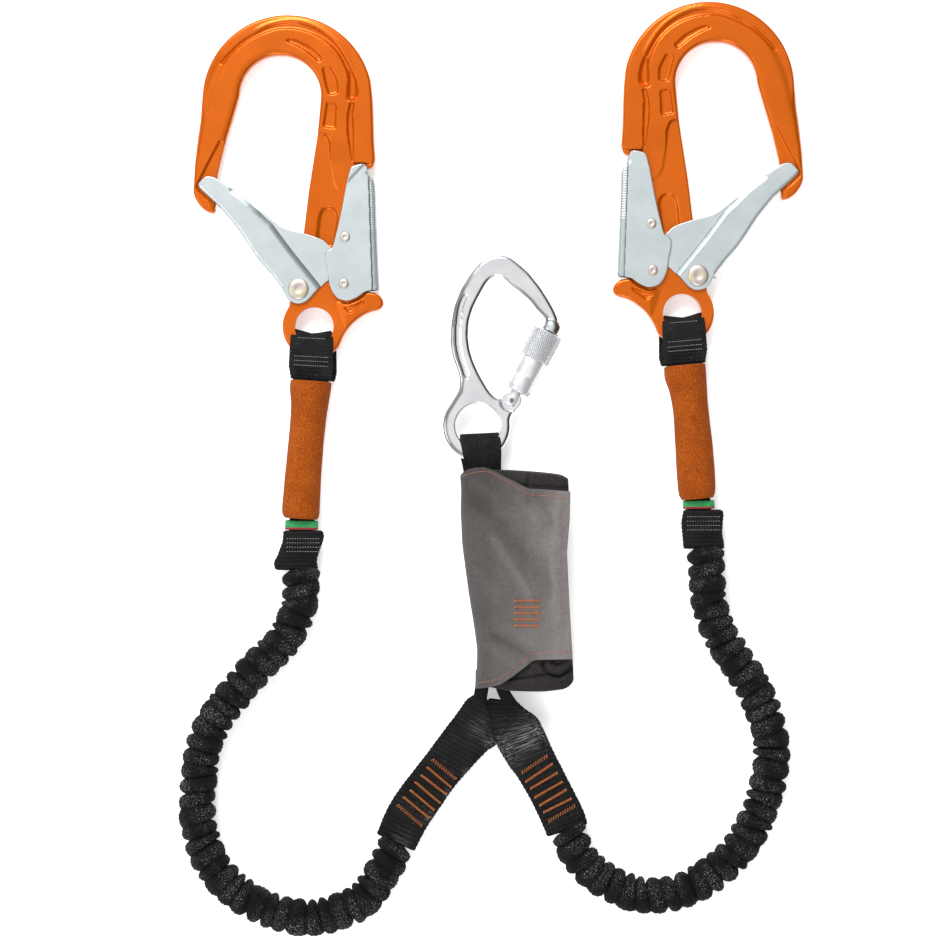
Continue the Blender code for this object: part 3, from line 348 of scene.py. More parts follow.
# %% The table
select_nothing()
bpy.ops.mesh.primitive_plane_add(size=8.0, location=(0, 0, -0.05 * MM))
floor = place_applied(named("table_top"))
floor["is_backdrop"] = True

# %% The studio
def soft_box(name, place, target, size, watts):
    light = bpy.data.lights.new(name, "AREA")
    light.shape = "DISK"
    light.size = size
    light.energy = watts
    item = new_object(name, light)
    item.location = place
    item.rotation_euler = (Vector(target) - Vector(place)).to_track_quat("-Z", "Y").to_euler()


soft_box("key_box", (-0.3, 1.35, 1.3), (0, 0, 0), 0.9, 28)
soft_box("fill_box", (-1.3, -0.1, 1.5), (0, 0, 0), 1.0, 6)
soft_box("low_box", (-0.2, -1.5, 1.1), (0, 0, 0), 0.9, 12)

sky = bpy.data.worlds.new("studio_sky")
bpy.context.scene.world = sky
sky.use_nodes = True
sky_nodes = sky.node_tree.nodes
sky_links = sky.node_tree.links
direction = sky_nodes.new("ShaderNodeTexCoord")
height = sky_nodes.new("ShaderNodeSeparateXYZ")
fall = sky_nodes.new("ShaderNodeValToRGB")
SKY_STOPS = ((0.05, (0.62, 0.62, 0.63, 1)), (0.90, (1.0, 1.0, 1.0, 1)))
for element, (position, colour) in zip(fall.color_ramp.elements, SKY_STOPS):
    element.position = position
    element.color = colour
sky_links.new(direction.outputs["Generated"], height.inputs[0])
sky_links.new(height.outputs["Z"], fall.inputs["Fac"])


def sky_sum(operation, first, second):
    """One step of arithmetic in the sky's nodes."""
    node = sky_nodes.new("ShaderNodeMath")
    node.operation = operation
    node.use_clamp = operation == "SUBTRACT"
    for source, socket in ((first, node.inputs[0]), (second, node.inputs[1])):
        if isinstance(source, float):
            socket.default_value = source
        else:
            sky_links.new(source, socket)
    return node.outputs[0]


sideways = sky_sum("MAXIMUM", height.outputs["X"], sky_sum("MULTIPLY", height.outputs["X"], -0.55))
low_side = sky_sum("MINIMUM", sky_sum("MULTIPLY", sky_sum("MULTIPLY", sideways, sideways), 2.4), 0.93)
level = sky_sum("SUBTRACT", 1.0, low_side)
sky_links.new(fall.outputs["Color"], sky_nodes["Background"].inputs["Color"])
sky_links.new(sky_sum("MULTIPLY", level, 0.96), sky_nodes["Background"].inputs["Strength"])
bpy.context.scene.view_settings.view_transform = "Standard"

# %% The camera
PICTURE = 942
VIEW_WIDTH = 950 * GRID
VIEW_CENTRE = at(471, 471)
CAMERA_HEIGHT = 2.2
MEAN_HEIGHT = 12 * MM

lens = bpy.data.cameras.new("camera")
lens.sensor_width = 36.0
lens.lens = lens.sensor_width * (CAMERA_HEIGHT - MEAN_HEIGHT) / VIEW_WIDTH
lens.clip_end = 10.0
camera = new_object("camera", lens)
camera.location = (VIEW_CENTRE.x, VIEW_CENTRE.y, CAMERA_HEIGHT)
bpy.context.scene.camera = camera
print("lens", round(lens.lens, 1), "mm for a picture of", PICTURE, "pixels")

# %% [markdown]
# ## Finishes
#
# Every finish is built from nodes. Colour varies with noise at the size that the real stuff has:
# cells in foam, a faint cloud in anodising, and pale flecks on webbing, which are painted highlights.
# Some finishes also read a value that each corner of their piece holds, which paints shade and dark
# reflections into the colour. Fabric patterns follow each piece's own UV map, whose unit is one
# metre, so a thread keeps its size on any strap.

# %% Node helpers
def tone(red, green, blue):
    """A colour as seen on a screen, turned into the linear values that a shader takes."""
    return tuple((value / 255) ** 2.2 for value in (red, green, blue))


def new_finish(name, colour, roughness, metallic=0.0, **extras):
    made = bpy.data.materials.new(name)
    made.use_nodes = True
    made.diffuse_color = (*colour, 1)
    shader = made.node_tree.nodes["Principled BSDF"]
    shader.inputs["Base Color"].default_value = (*colour, 1)
    shader.inputs["Roughness"].default_value = roughness
    shader.inputs["Metallic"].default_value = metallic
    for socket, value in extras.items():
        shader.inputs[socket.replace("_", " ")].default_value = value
    return made


def add_node(made, kind, **values):
    """Adds a node. A name of one of its inputs sets that input, and any other name a setting."""
    node = made.node_tree.nodes.new(kind)
    for name, value in values.items():
        label = name.replace("_", " ")
        if label in node.inputs:
            node.inputs[label].default_value = value
        else:
            setattr(node, name, value)
    return node


def link(made, source, target):
    made.node_tree.links.new(source, target)


def object_place(made):
    return add_node(made, "ShaderNodeTexCoord").outputs["Object"]


def thread_place(made, across=1.0, along=1.0, turn=0.0):
    """The piece's UV map in metres, stretched and turned for one set of threads."""
    source = add_node(made, "ShaderNodeTexCoord").outputs["UV"]
    mapping = add_node(made, "ShaderNodeMapping")
    mapping.inputs["Scale"].default_value = (across, along, 1)
    mapping.inputs["Rotation"].default_value = (0, 0, turn)
    link(made, source, mapping.inputs["Vector"])
    return mapping.outputs["Vector"]


def noise_of(made, place, scale, detail, roughness=0.55):
    node = add_node(made, "ShaderNodeTexNoise", Scale=scale, Detail=detail, Roughness=roughness)
    link(made, place, node.inputs["Vector"])
    return node.outputs["Fac"]


def bands_of(made, place, scale, direction="X", distortion=0.0):
    node = add_node(made, "ShaderNodeTexWave", Scale=scale, Distortion=distortion, bands_direction=direction)
    link(made, place, node.inputs["Vector"])
    return node.outputs["Fac"]


def ramp(made, source, stops):
    """A colour ramp from (position, colour) pairs."""
    node = add_node(made, "ShaderNodeValToRGB")
    elements = node.color_ramp.elements
    for number, (position, colour) in enumerate(stops):
        element = elements[number] if number < 2 else elements.new(position)
        element.position = position
        element.color = (*colour, 1)
    link(made, source, node.inputs["Fac"])
    return node.outputs["Color"]


def two_tones(made, source, first, second, low=0.3, high=0.7):
    """A ramp between two colours, each as seen on a screen."""
    return ramp(made, source, [(low, tone(*first)), (high, tone(*second))])


def two_greys(made, source, first, second, low=0.3, high=0.7):
    """A ramp between two plain numbers, as for a roughness or a share."""
    return ramp(made, source, [(low, (first,) * 3), (high, (second,) * 3)])


def piece_value(made, name):
    """A value that the piece's mesh holds for each of its corners."""
    return add_node(made, "ShaderNodeAttribute", attribute_name=name).outputs["Fac"]


def combined(made, first, second, operation="MULTIPLY"):
    node = add_node(made, "ShaderNodeMath", operation=operation)
    for source, socket in ((first, node.inputs[0]), (second, node.inputs[1])):
        if isinstance(source, (int, float)):
            socket.default_value = source
        else:
            link(made, source, socket)
    return node.outputs["Value"]


def mixed(made, share, first, second):
    """A mix of two colours, each a socket or a plain colour."""
    node = add_node(made, "ShaderNodeMix", data_type="RGBA")
    link(made, share, node.inputs["Factor"])
    colour_inputs = [socket for socket in node.inputs if socket.type == "RGBA"]
    for source, socket in zip((first, second), colour_inputs):
        if isinstance(source, tuple):
            socket.default_value = (*source, 1)
        else:
            link(made, source, socket)
    return [socket for socket in node.outputs if socket.type == "RGBA"][0]


def bump(made, height, distance, strength, under=None):
    """Roughens a surface by a height pattern, on top of another bump if there is one."""
    node = add_node(made, "ShaderNodeBump", Distance=distance, Strength=strength)
    link(made, height, node.inputs["Height"])
    if under is not None:
        link(made, under, node.inputs["Normal"])
    return node.outputs["Normal"]


def wear(made, colour, normal, roughness=None):
    """Links what was built to the shader."""
    shader = made.node_tree.nodes["Principled BSDF"]
    for source, socket in ((colour, "Base Color"), (normal, "Normal"), (roughness, "Roughness")):
        if source is not None:
            link(made, source, shader.inputs[socket])
    return made


# %% [markdown]
# ### Metal
#
# The hooks are forged aluminium with a dyed anodised skin: deep orange under a clear gloss, with the
# faint cloud of tumbled metal beneath it. The gates and levers are pressed steel under dull blue
# zinc, and the carabiner is bare polished aluminium. Fine grain in the roughness does most of the work.

# %% Metal finishes
def anodised_orange():
    gloss = {"Coat_Weight": 0.07, "Coat_Roughness": 0.1, "Specular_IOR_Level": 0.3}
    made = new_finish("anodised_orange", tone(202, 95, 2), 0.26, 0.5, **gloss)
    place = object_place(made)
    cloud = noise_of(made, place, 26, 4)
    smear = noise_of(made, place, 55, 3)
    colour = two_tones(made, cloud, (194, 89, 0), (202, 95, 2))
    rough = two_greys(made, smear, 0.22, 0.30)
    return wear(made, colour, None, rough)


def zinc_steel():
    made = new_finish("zinc_steel", tone(208, 215, 217), 0.34, 0.65)
    place = object_place(made)
    cloud = noise_of(made, place, 60, 4)
    grain = noise_of(made, place, 1300, 2)
    colour = two_tones(made, cloud, (178, 187, 189), (190, 197, 198))
    # Painted shade: the slope of the gate's joggle and the lever's fold strip are painted dark here.
    colour = mixed(made, piece_value(made, "painted_shade"), colour, tone(62, 72, 80))
    rough = two_greys(made, grain, 0.28, 0.42)
    return wear(made, colour, bump(made, grain, 0.02 * MM, 0.3), rough)


def rivet_steel():
    made = new_finish("rivet_steel", tone(205, 196, 178), 0.42, 0.8)
    place = object_place(made)
    cloud = noise_of(made, place, 170, 3)
    colour = ramp(made, cloud,
                  [(0.35, tone(200, 186, 150)), (0.52, tone(192, 186, 180)), (0.68, tone(192, 168, 166))])
    grain = noise_of(made, place, 1500, 2)
    return wear(made, colour, bump(made, grain, 0.02 * MM, 0.3))


def grained(name, first, second, scale, detail, roughness, ends=(0.3, 0.7), relief=None, **extras):
    """A plain stuff with one grain, which colours it and may roughen it."""
    made = new_finish(name, tone(*first), roughness, **extras)
    grain = noise_of(made, object_place(made), scale, detail)
    return wear(made, two_tones(made, grain, first, second, *ends), relief and bump(made, grain, *relief))


def polished_aluminium(name="polished_aluminium", rough_from=0.12, rough_to=0.24, metallic=1.0):
    made = new_finish(name, tone(226, 228, 230), 0.17, metallic)
    place = object_place(made)
    cloud = noise_of(made, place, 40, 4)
    grain = noise_of(made, place, 700, 3)
    colour = two_tones(made, cloud, (214, 216, 219), (236, 237, 238))
    # Painted shade and reflection: dark bands along the carabiner's rims and the knurl grooves are painted
    # in.
    colour = mixed(made, combined(made, piece_value(made, "painted_shade"), 0.8), colour, tone(50, 51, 53))
    rough = two_greys(made, grain, rough_from, rough_to)
    return wear(made, colour, bump(made, grain, 0.02 * MM, 0.2), rough)


# %% [markdown]
# ### Fabric, foam and rubber
#
# Black webbing looks black only from afar: close up it is a twill of dark threads whose crowns are
# grey. Pale flecks are painted into its colour as highlights of the fibres, and it turns pale where
# it is frayed. Its folds and the grooves between its ribs get painted shade. The pleated sheath has
# the same yarn knitted in fine rows round the leg, with painted highlight flecks and painted shade in
# its pinches. Each finish has its own rows, set by the piece's UV map.

# %% Textile finishes
def painted_shade_on_cloth(made, colour, depth):
    """Paints shade into a cloth's colour, as much as its piece's per-corner value says: in folds and
    grooves, and on panels turned from the light.
    """
    return mixed(made, combined(made, piece_value(made, "painted_shade"), depth), colour, tone(4, 4, 5))


def speckle(made, place, scale, low, high):
    """Small flecks: one where the noise peaks and nothing elsewhere."""
    return two_greys(made, noise_of(made, place, scale, 2, 0.7), 0, 1, low, high)


def black_webbing():
    made = new_finish("black_webbing", tone(30, 30, 32), 0.9, Specular_IOR_Level=0.2)
    weave = thread_place(made, 1, 1, math.radians(52))
    twill = bands_of(made, weave, 250)
    fine = bands_of(made, thread_place(made), 420, "Y")
    cloud = noise_of(made, thread_place(made), 90, 4)
    # Painted highlights: pale flecks stand in for the highlights on the fibres.
    flecks = speckle(made, thread_place(made, 2.2, 1), 900, 0.62, 0.74)
    patches = two_greys(made, noise_of(made, thread_place(made), 60, 2), 0.1, 1, 0.45, 0.7)
    dark = two_tones(made, cloud, (22, 22, 23), (38, 38, 39))
    amount = combined(made, combined(made, flecks, patches), 0.6)
    frayed = speckle(made, thread_place(made, 0.30, 2.0), 800, 0.51, 0.60)
    amount = combined(made, amount, combined(made, piece_value(made, "worn"), frayed), "MAXIMUM")
    # The pale tone serves the painted highlight flecks and the real fraying alike.
    colour = mixed(made, amount, dark, tone(176, 176, 180))
    # Painted shade in folds and between ribs.
    colour = painted_shade_on_cloth(made, colour, 0.8)
    low = bump(made, twill, 0.3 * MM, 0.9)
    return wear(made, colour, bump(made, fine, 0.1 * MM, 0.5, low))


def pleated_knit():
    made = new_finish("pleated_knit", tone(28, 28, 30), 0.92, Specular_IOR_Level=0.2)
    rows = bands_of(made, thread_place(made), 380, "Y", 0.6)
    stitches = bands_of(made, thread_place(made), 330, "X", 0.5)
    patches = two_greys(made, noise_of(made, thread_place(made), 45, 2), 0.04, 1, 0.42, 0.62)
    # Painted highlights: pale flecks stand in for the highlights on the knit.
    flecks = speckle(made, thread_place(made, 1.0, 1.8), 750, 0.56, 0.68)
    cloud = noise_of(made, thread_place(made, 1, 3), 120, 4)
    dark = two_tones(made, cloud, (8, 8, 9), (29, 29, 30))
    colour = mixed(made, combined(made, combined(made, flecks, patches), 0.9), dark, tone(196, 196, 198))
    # Painted shade in the pinches between pleats.
    colour = painted_shade_on_cloth(made, colour, 0.92)
    low = bump(made, rows, 0.3 * MM, 0.9)
    return wear(made, colour, bump(made, stitches, 0.12 * MM, 0.5, low))


def foam_tones(made, cells, shades):
    """The foam's colour from deep in a cell to the rim between two cells."""
    return ramp(made, cells, [(depth, tone(*shade)) for depth, shade in zip((0.34, 0.5, 0.68, 0.8), shades)])


def orange_foam():
    made = new_finish("orange_foam", tone(190, 88, 18), 0.92, Specular_IOR_Level=0.2)
    place = object_place(made)
    cells = noise_of(made, place, 1100, 3, 0.7)
    cloud = noise_of(made, place, 60, 3)
    bright = foam_tones(made, cells, [(125, 54, 9), (155, 73, 13), (174, 98, 36), (214, 150, 96)])
    dull = foam_tones(made, cells, [(113, 48, 8), (142, 65, 11), (160, 86, 28), (204, 140, 88)])
    share = two_greys(made, cloud, 0, 1, 0.35, 0.65)
    return wear(made, mixed(made, share, bright, dull), bump(made, cells, 0.35 * MM, 0.8))


def band_cloth(name, first, second):
    made = new_finish(name, tone(*first), 0.7, Sheen_Weight=0.2)
    threads = bands_of(made, object_place(made), 380, "Y", 0.5)
    cloud = noise_of(made, object_place(made), 500, 3)
    colour = two_tones(made, cloud, first, second)
    return wear(made, colour, bump(made, threads, 0.12 * MM, 0.6))


def cover_cloth(name, dark, light):
    """Plain woven cloth: two crossing sets of fine threads, a faint cloud and a soft sheen."""
    made = new_finish(name, tone(*light), 0.88, Specular_IOR_Level=0.25, Sheen_Weight=0.05)
    place = object_place(made)
    across = bands_of(made, place, 520, "X", 0.8)
    along = bands_of(made, place, 520, "Y", 0.8)
    cloud = noise_of(made, place, 45, 5)
    slubs = noise_of(made, place, 420, 3, 0.6)
    shade = combined(made, combined(made, cloud, 0.4), combined(made, slubs, 0.6), "ADD")
    colour = two_tones(made, shade, dark, light)
    # Painted shade: folds and the panels turned from the light are painted darker, ridges less dark.
    colour = painted_shade_on_cloth(made, colour, 0.8)
    weave = combined(made, across, along, "MAXIMUM")
    return wear(made, colour, bump(made, weave, 0.10 * MM, 0.55))


def thread(name, dark, light):
    """Sewing thread: a twisted ply with a slight shine."""
    return grained(name, dark, light, 1500, 2, 0.6, (0.35, 0.65), (0.1 * MM, 0.6), Sheen_Weight=0.2)


def tear_webbing():
    made = new_finish("tear_webbing", tone(196, 186, 70), 0.85)
    rows = bands_of(made, object_place(made), 240, "X", 0.4)
    colour = two_tones(made, rows, (160, 150, 48), (206, 196, 84), 0.2, 0.8)
    return wear(made, colour, bump(made, rows, 0.2 * MM, 0.7))


def table_paper():
    glow = {"Emission_Color": (1, 1, 1, 1), "Emission_Strength": 0.45}
    return grained("table_paper", (249, 249, 249), (252, 252, 252), 6, 2, 0.9, (0.2, 0.8), **glow)


# %% One of each
# The solids arrive in plain colours, which come off first so that the finishes can have the names
for plain in list(bpy.data.materials):
    bpy.data.materials.remove(plain)
FINISH = {made.name: made for made in [
    anodised_orange(), zinc_steel(), rivet_steel(), polished_aluminium(),
    polished_aluminium("turned_aluminium", 0.24, 0.34, 0.48),
    grained("spring_steel", (96, 98, 103), (146, 148, 152), 1400, 2, 0.3, Metallic=1.0),
    black_webbing(), pleated_knit(), orange_foam(), tear_webbing(),
    grained("hook_tape", (18, 18, 19), (62, 62, 64), 1400, 2, 0.95, (0.35, 0.65), (0.5 * MM, 1.0)),
    grained("rubber_core", (180, 170, 138), (212, 205, 178), 300, 3, 0.7),
    band_cloth("green_band", (24, 128, 68), (38, 148, 84)),
    band_cloth("red_stripe", (120, 22, 24), (146, 34, 34)),
    cover_cloth("grey_fabric", (106, 101, 99), (127, 123, 121)),
    cover_cloth("black_fabric", (34, 31, 32), (52, 48, 49)),
    thread("orange_thread", (178, 92, 34), (212, 124, 60)),
    thread("seam_thread", (178, 88, 62), (202, 112, 84)),
    thread("grey_thread", (104, 104, 106), (150, 150, 152)),
    table_paper(),
]}


def wears(item, finish, slot=None):
    """Gives a piece its finish. Its slot argument is not used."""
    item.data.materials.clear()
    item.data.materials.append(FINISH[finish])
    if slot != "":
        slot or finish
    return item


wears(floor, "table_paper", "")
KEPT_SOLIDS = {
    "spring_steel": ("left_lever_spring", "right_lever_spring", "left_gate_spring", "right_gate_spring",
                     "carabiner_plunger", "carabiner_spring", "carabiner_gate_pin"),
    "tear_webbing": ("tear_webbing",),
    "hook_tape": ("pouch_loop_tape", "flap_hook_tape"),
    "rubber_core": ("left_leg_core", "right_leg_core"),
}
for finish, solids in KEPT_SOLIDS.items():
    for solid in solids:
        wears(frame["nodes"][solid], finish, "")
print("finishes:", len(FINISH))

# %% [markdown]
# ## Elastic legs
#
# Each leg is a rubber core in a sheath that is much longer than the core at rest, so the sheath
# gathers into pleats about 10 mm apart. Under load it draws out flat. The leg lies in the loose curve
# that the layout gives it. A row of rings could be stacked along the curve, but the pleats are one
# cloth: here a grid is wrapped round the curve as a tube, and its radius swells and pinches. No two
# pleats are alike, so each pinch has its own depth and its own side where it opens.

# %% The legs' routes and the tube
LEG_ROUTE = {
    "left": [
        (300, 572), (299, 600), (296, 614), (282, 642), (256, 668), (233, 695), (213, 722), (201, 750),
        (197, 780), (195, 808), (198, 835), (209, 865), (228, 889), (254, 907), (283, 918), (312, 921),
        (340, 914), (364, 901), (381, 876), (389, 862), (395, 848),
    ],
    "right": [
        (707, 551), (709, 580), (710, 600), (720, 632), (735, 657), (752, 683), (765, 711), (773, 740),
        (773, 770), (767, 797), (758, 822), (744, 847), (725, 868), (700, 886), (672, 897), (642, 898),
        (616, 889), (594, 875), (581, 861), (574, 848), (569, 833),
    ],
}
LEG_MIDDLE = 13.9 * MM
LEG_DIAMETER = 27.0 * MM
PLEAT = 10.0 * MM
RINGS_IN_PLEAT = 18
KNIT_ROWS, ROW_HEIGHT = 4, 0.016
SIDES = 56


def leg_line(side):
    return smooth(on_grid(LEG_ROUTE[side], LEG_MIDDLE), 8)


def wrapped_grid(name, rings, sides, surface, size, painted_shade=None):
    """A tube: a grid whose columns run round it and rows along it, its corners placed by
    surface(row, turn), which gives a point. Its UV map is stretched to size, in metres.
    The last argument, a function of (row, turn), gives how much shade to paint into the colour at a
    point, as in the folds of a cloth or the grooves of a knurl."""
    item = flat_grid(name, sides, rings)
    places = [(corner.co.y + 0.5, (corner.co.x + 0.5) * 2 * math.pi) for corner in item.data.vertices]
    for corner, place in zip(item.data.vertices, places):
        corner.co = surface(*place)
    if painted_shade:
        for entry, place in zip(corner_values(item, "painted_shade"), places):
            entry.value = painted_shade(*place)
    mapped_in_metres(item, *size)
    select_all_of(item)
    bpy.ops.mesh.remove_doubles(threshold=0.01 * MM)
    bpy.ops.mesh.select_all(action="DESELECT")
    bpy.ops.mesh.select_non_manifold()
    bpy.ops.mesh.fill_holes(sides=0)
    return turned_outwards(item)


class Pleats:
    """Where each pleat begins along the leg, and how deep and on which side it is pinched."""

    def __init__(self, length, seed):
        draw = random.Random(seed)
        count = round(length / PLEAT)
        self.starts = [0.0]
        for number in range(1, count):
            self.starts.append((number + draw.uniform(-0.16, 0.16)) * length / count)
        self.starts.append(length)
        self.fat = [draw.uniform(0.955, 1.0) for _ in range(count + 1)]
        self.side = [draw.choice((0.0, math.pi)) + draw.uniform(-0.7, 0.7) for _ in range(count + 1)]
        self.depth = [draw.uniform(0.34, 0.50) for _ in range(count + 1)]
        self.slant = [draw.uniform(-1.8, 3.0) * MM for _ in range(count + 1)]

    def pinch(self, number, turn):
        return self.depth[number] * (0.70 + 0.30 * math.cos(turn - self.side[number]))

    def at(self, distance, turn):
        """The share of the full radius, how far this point slides along the leg, and how much shade to
        paint into its colour, most in the pinch between two pleats.
        """
        number = 0
        while number < len(self.starts) - 2 and self.starts[number + 1] < distance:
            number += 1
        low, high = self.starts[number], self.starts[number + 1]
        share = clamped((distance - low) / (high - low))
        bulge = math.sin(math.pi * share) ** 0.5 if 0 < share < 1 else 0.0
        pinch = self.pinch(number, turn) * (1 - share) + self.pinch(number + 1, turn) * share
        slant = self.slant[number] * (1 - share) + self.slant[number + 1] * share
        rows = ROW_HEIGHT * math.cos(share * 2 * math.pi * KNIT_ROWS)
        radius = self.fat[number] * (1 - pinch * (1 - bulge)) + rows * bulge
        # Painted shade: darkest in the pinch between two pleats, and a little between the knit rows.
        crease_shade = (1 - bulge) + 0.35 * (1 - math.cos(share * 2 * math.pi * KNIT_ROWS)) / 2 * bulge
        return radius, slant * math.cos(turn), min(crease_shade, 1.0)


# %% Making both legs
def leg_sheath(side, seed):
    line = spaced(leg_line(side), 2 * MM)
    line = [line[0] + (line[0] - line[1]) * 1.4] + line + [line[-1] + (line[-1] - line[-2]) * 1.4]
    length = line_length(line)
    pleats = Pleats(length, seed)
    rings = round(length / PLEAT) * RINGS_IN_PLEAT
    radius = LEG_DIAMETER / 2

    def surface(row, turn):
        share, slide, _ = pleats.at(row * length, turn)
        place = min(max(row * length + slide, 0.0), length) / length * (len(line) - 1)
        step = min(int(place), len(line) - 2)
        middle = line[step].lerp(line[step + 1], place - step)
        before, after = line[max(step - 2, 0)], line[min(step + 3, len(line) - 1)]
        along = (after - before).normalized()
        across = Vector((along.y, -along.x, 0))
        on_cloth = Vector((math.cos(turn) * 2, math.sin(turn) * 2, row * length / (4 * MM)))
        share += 0.018 * noise.noise(on_cloth + Vector((seed, 0, 0)))
        ends = min(row, 1 - row) * length
        share *= min(1.0, 0.74 + 0.26 * ends / (4 * MM))
        reach = min(share, 1.0) * radius
        return middle + across * math.cos(turn) * reach + Vector((0, 0, math.sin(turn) * reach))

    # The third value of each point of a pleat is the shade painted into the sheath's colour.
    sheath = wrapped_grid(f"{side}_pleated_sheath", rings, SIDES, surface, (2 * math.pi * radius, length),
                          lambda row, turn: pleats.at(row * length, turn)[2])
    smooth_shaded(sheath, 80)
    wears(sheath, "pleated_knit", "black_webbing")
    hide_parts(f"{side}_leg_sheath")
    top, lower = line[1], line[min(round(46 * MM / (2 * MM)), len(line) - 1)]
    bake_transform(sheath)
    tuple(top)
    spaced(leg_line(side), 6 * MM)
    print(side, "leg:", round(length, 4), "m,", len(pleats.starts) - 1, "pleats,", len(sheath.data.polygons),
          "faces")


leg_sheath("left", 5)
leg_sheath("right", 11)

# %% [markdown]
# ## Forged hooks
#
# A scaffold hook starts as a bar of aluminium that is bent, pressed between two dies and trimmed.
# That leaves soft edges, pockets with sloping walls and a bead round the crown. Extruding the outline
# and cutting it gives the shape but leaves knife edges, and bevelling dozens of cut edges is fragile.
# So the cut shape is remeshed into fine voxels and relaxed a little, which rounds every edge as a die
# does. One hook is made about its eye. The right one is its mirror image.

# %% Outlines that a die would give
HOOK_MIDDLE = 9.0 * MM
HOOK_HALF = 6.0 * MM
THIN_HALF = 4.2 * MM
EYE_RADIUS = 13.7
EYE_RIM = 22.6
GATE_PIVOT = (-11.0, 26.4)
LEVER_PIVOT = (20.9, 30.1)
CATCH_PIN = (21.9, 63.0)
CROWN_CENTRE = (-18.8, 159.6)
INNER_CENTRE = (-24.0, 163.0)


def softened(points, step, passes):
    """Points an even step apart along a closed outline, its corners relaxed by averaging."""
    line = spaced(points, step, closed=True)
    for _ in range(passes):
        before, after = line[-1:] + line[:-1], line[1:] + line[:1]
        line = [0.25 * a + 0.5 * b + 0.25 * c for a, b, c in zip(before, line, after)]
    return line


def scaled(points):
    """Millimetres to metres."""
    return [Vector(point) * MM for point in points]


def signed_area(line):
    pairs = zip(line, line[1:] + line[:1])
    return sum(a.x * b.y - b.x * a.y for a, b in pairs) / 2


def inset_line(line, distances):
    """Moves each point of a closed outline inwards by its own distance."""
    turn = 1 if signed_area(line) > 0 else -1
    moved = []
    for number, point in enumerate(line):
        along = (line[(number + 1) % len(line)] - line[number - 1]).normalized()
        moved.append(point + Vector((-along.y, along.x)) * turn * distances[number])
    return moved


def forged_plate(name, line, low, high, widths, drop):
    """A plate whose rims slope: at each point the flat face starts a width inside the outline, and
    the slope is a drop deep. Its levels are extruded one after the other."""
    levels = [
        (low, 1.0), (low + 0.3 * drop, 0.35), (low + drop, 0.0), (high - drop, 0.0),
        (high - 0.3 * drop, 0.35), (high, 1.0),
    ]
    rings = [inset_line(line, [width * share for width in widths]) for _, share in levels]
    item = ring_of_corners(name, len(line), fill_type="NGON")
    for corner, point in zip(item.data.vertices, rings[0]):
        corner.co = (point.x, point.y, levels[0][0])
    for ring, (height, _) in zip(rings[1:], levels[1:]):
        pick(item)
        bpy.ops.object.mode_set(mode="EDIT")
        bpy.ops.mesh.extrude_region_move(TRANSFORM_OT_translate={"value": (0, 0, 0)})
        shape = bmesh.from_edit_mesh(item.data)
        top = [corner for corner in shape.verts if corner.select]
        top.sort(key=lambda corner: corner.index)
        for corner, point in zip(top, ring):
            corner.co = (point.x, point.y, height)
        bmesh.update_edit_mesh(item.data)
        back_to_object()
    return recalculated(item)


def rounded_by_voxels(item, voxel, passes):
    """Rebuilds a shape from small voxels and relaxes it, which rounds its edges."""
    modifier(item, "REMESH", mode="VOXEL", voxel_size=voxel, use_smooth_shade=True)
    modifier(item, "SMOOTH", factor=0.5, iterations=passes)
    return item


def both_faces(item, label, outline, height):
    """Cuts an outline into both faces of the hook, down to a height above its middle plane."""
    for face in (-1, 1):
        heights = sorted((HOOK_MIDDLE + face * height, HOOK_MIDDLE + face * (HOOK_HALF + 3 * MM)))
        cut(item, plate(f"{label}_{face + 1}", scaled(outline), *heights))
    return item


def hook_runs():
    """The hook's outline, one run after the other, each with the width of its sloping rim."""
    half_flat = 4.0
    inner_radius = 28.8
    flat_angle = math.degrees(math.acos(half_flat / inner_radius))
    nose = [(-69.9, 79.5), (-75.4, 80.8), (-80, 84.3), (-83.9, 89.7), (-85.6, 94.5)]
    outer_arm = [(-84.3, 115.1), (-82.2, 132.2), (-80.1, 146)]
    spine = [(41.3, 160), (41.8, 146), (42.2, 130), (43.2, 117.1), (41.1, 111.9), (31, 110.7)]
    neck = [(29.5, 108), (33.4, 28), (36, 24.6)]
    horn = [
        (43.2, 24), (47.3, 21.2), (49.3, 17.8), (49, 14.2), (46.3, 12), (39, 10.3), (33.6, 7.5),
        (26.7, 2.1), (21.9, -4.1), (18.6, -10.6),
    ]
    inner_side = [(-18.6, 36), (-13, 50), (-7.5, 65.8), (-4.1, 94.5), (2.1, 134.3)]
    inner_right = arc(INNER_CENTRE, inner_radius, 0, flat_angle, 20)
    inner_left = arc(INNER_CENTRE, inner_radius, 180 - flat_angle, 180, 20)
    inner_arm = [(-58.2, 145), (-63.7, 126.7), (-68.5, 106.9), (-69.9, 85.6)]
    return [
        (nose, 1.2), (outer_arm, 2.6), (arc(CROWN_CENTRE, 60.3, 176, 13, 60), 1.5), (spine, 1.9),
        (neck, 1.2), (horn, 1.6), (arc((0, 0), EYE_RIM, -38, -222, 40), 1.8),
        (arc(GATE_PIVOT, 10.0, 232, 160, 8), 1.0), (inner_side, 1.3), (inner_right, 2.0),
        (inner_left, 4.2), (inner_arm, 4.0),
    ]


HOOK_RUNS = hook_runs()
print("hook outline:", sum(len(points) for points, _ in HOOK_RUNS), "points in", len(HOOK_RUNS), "runs")

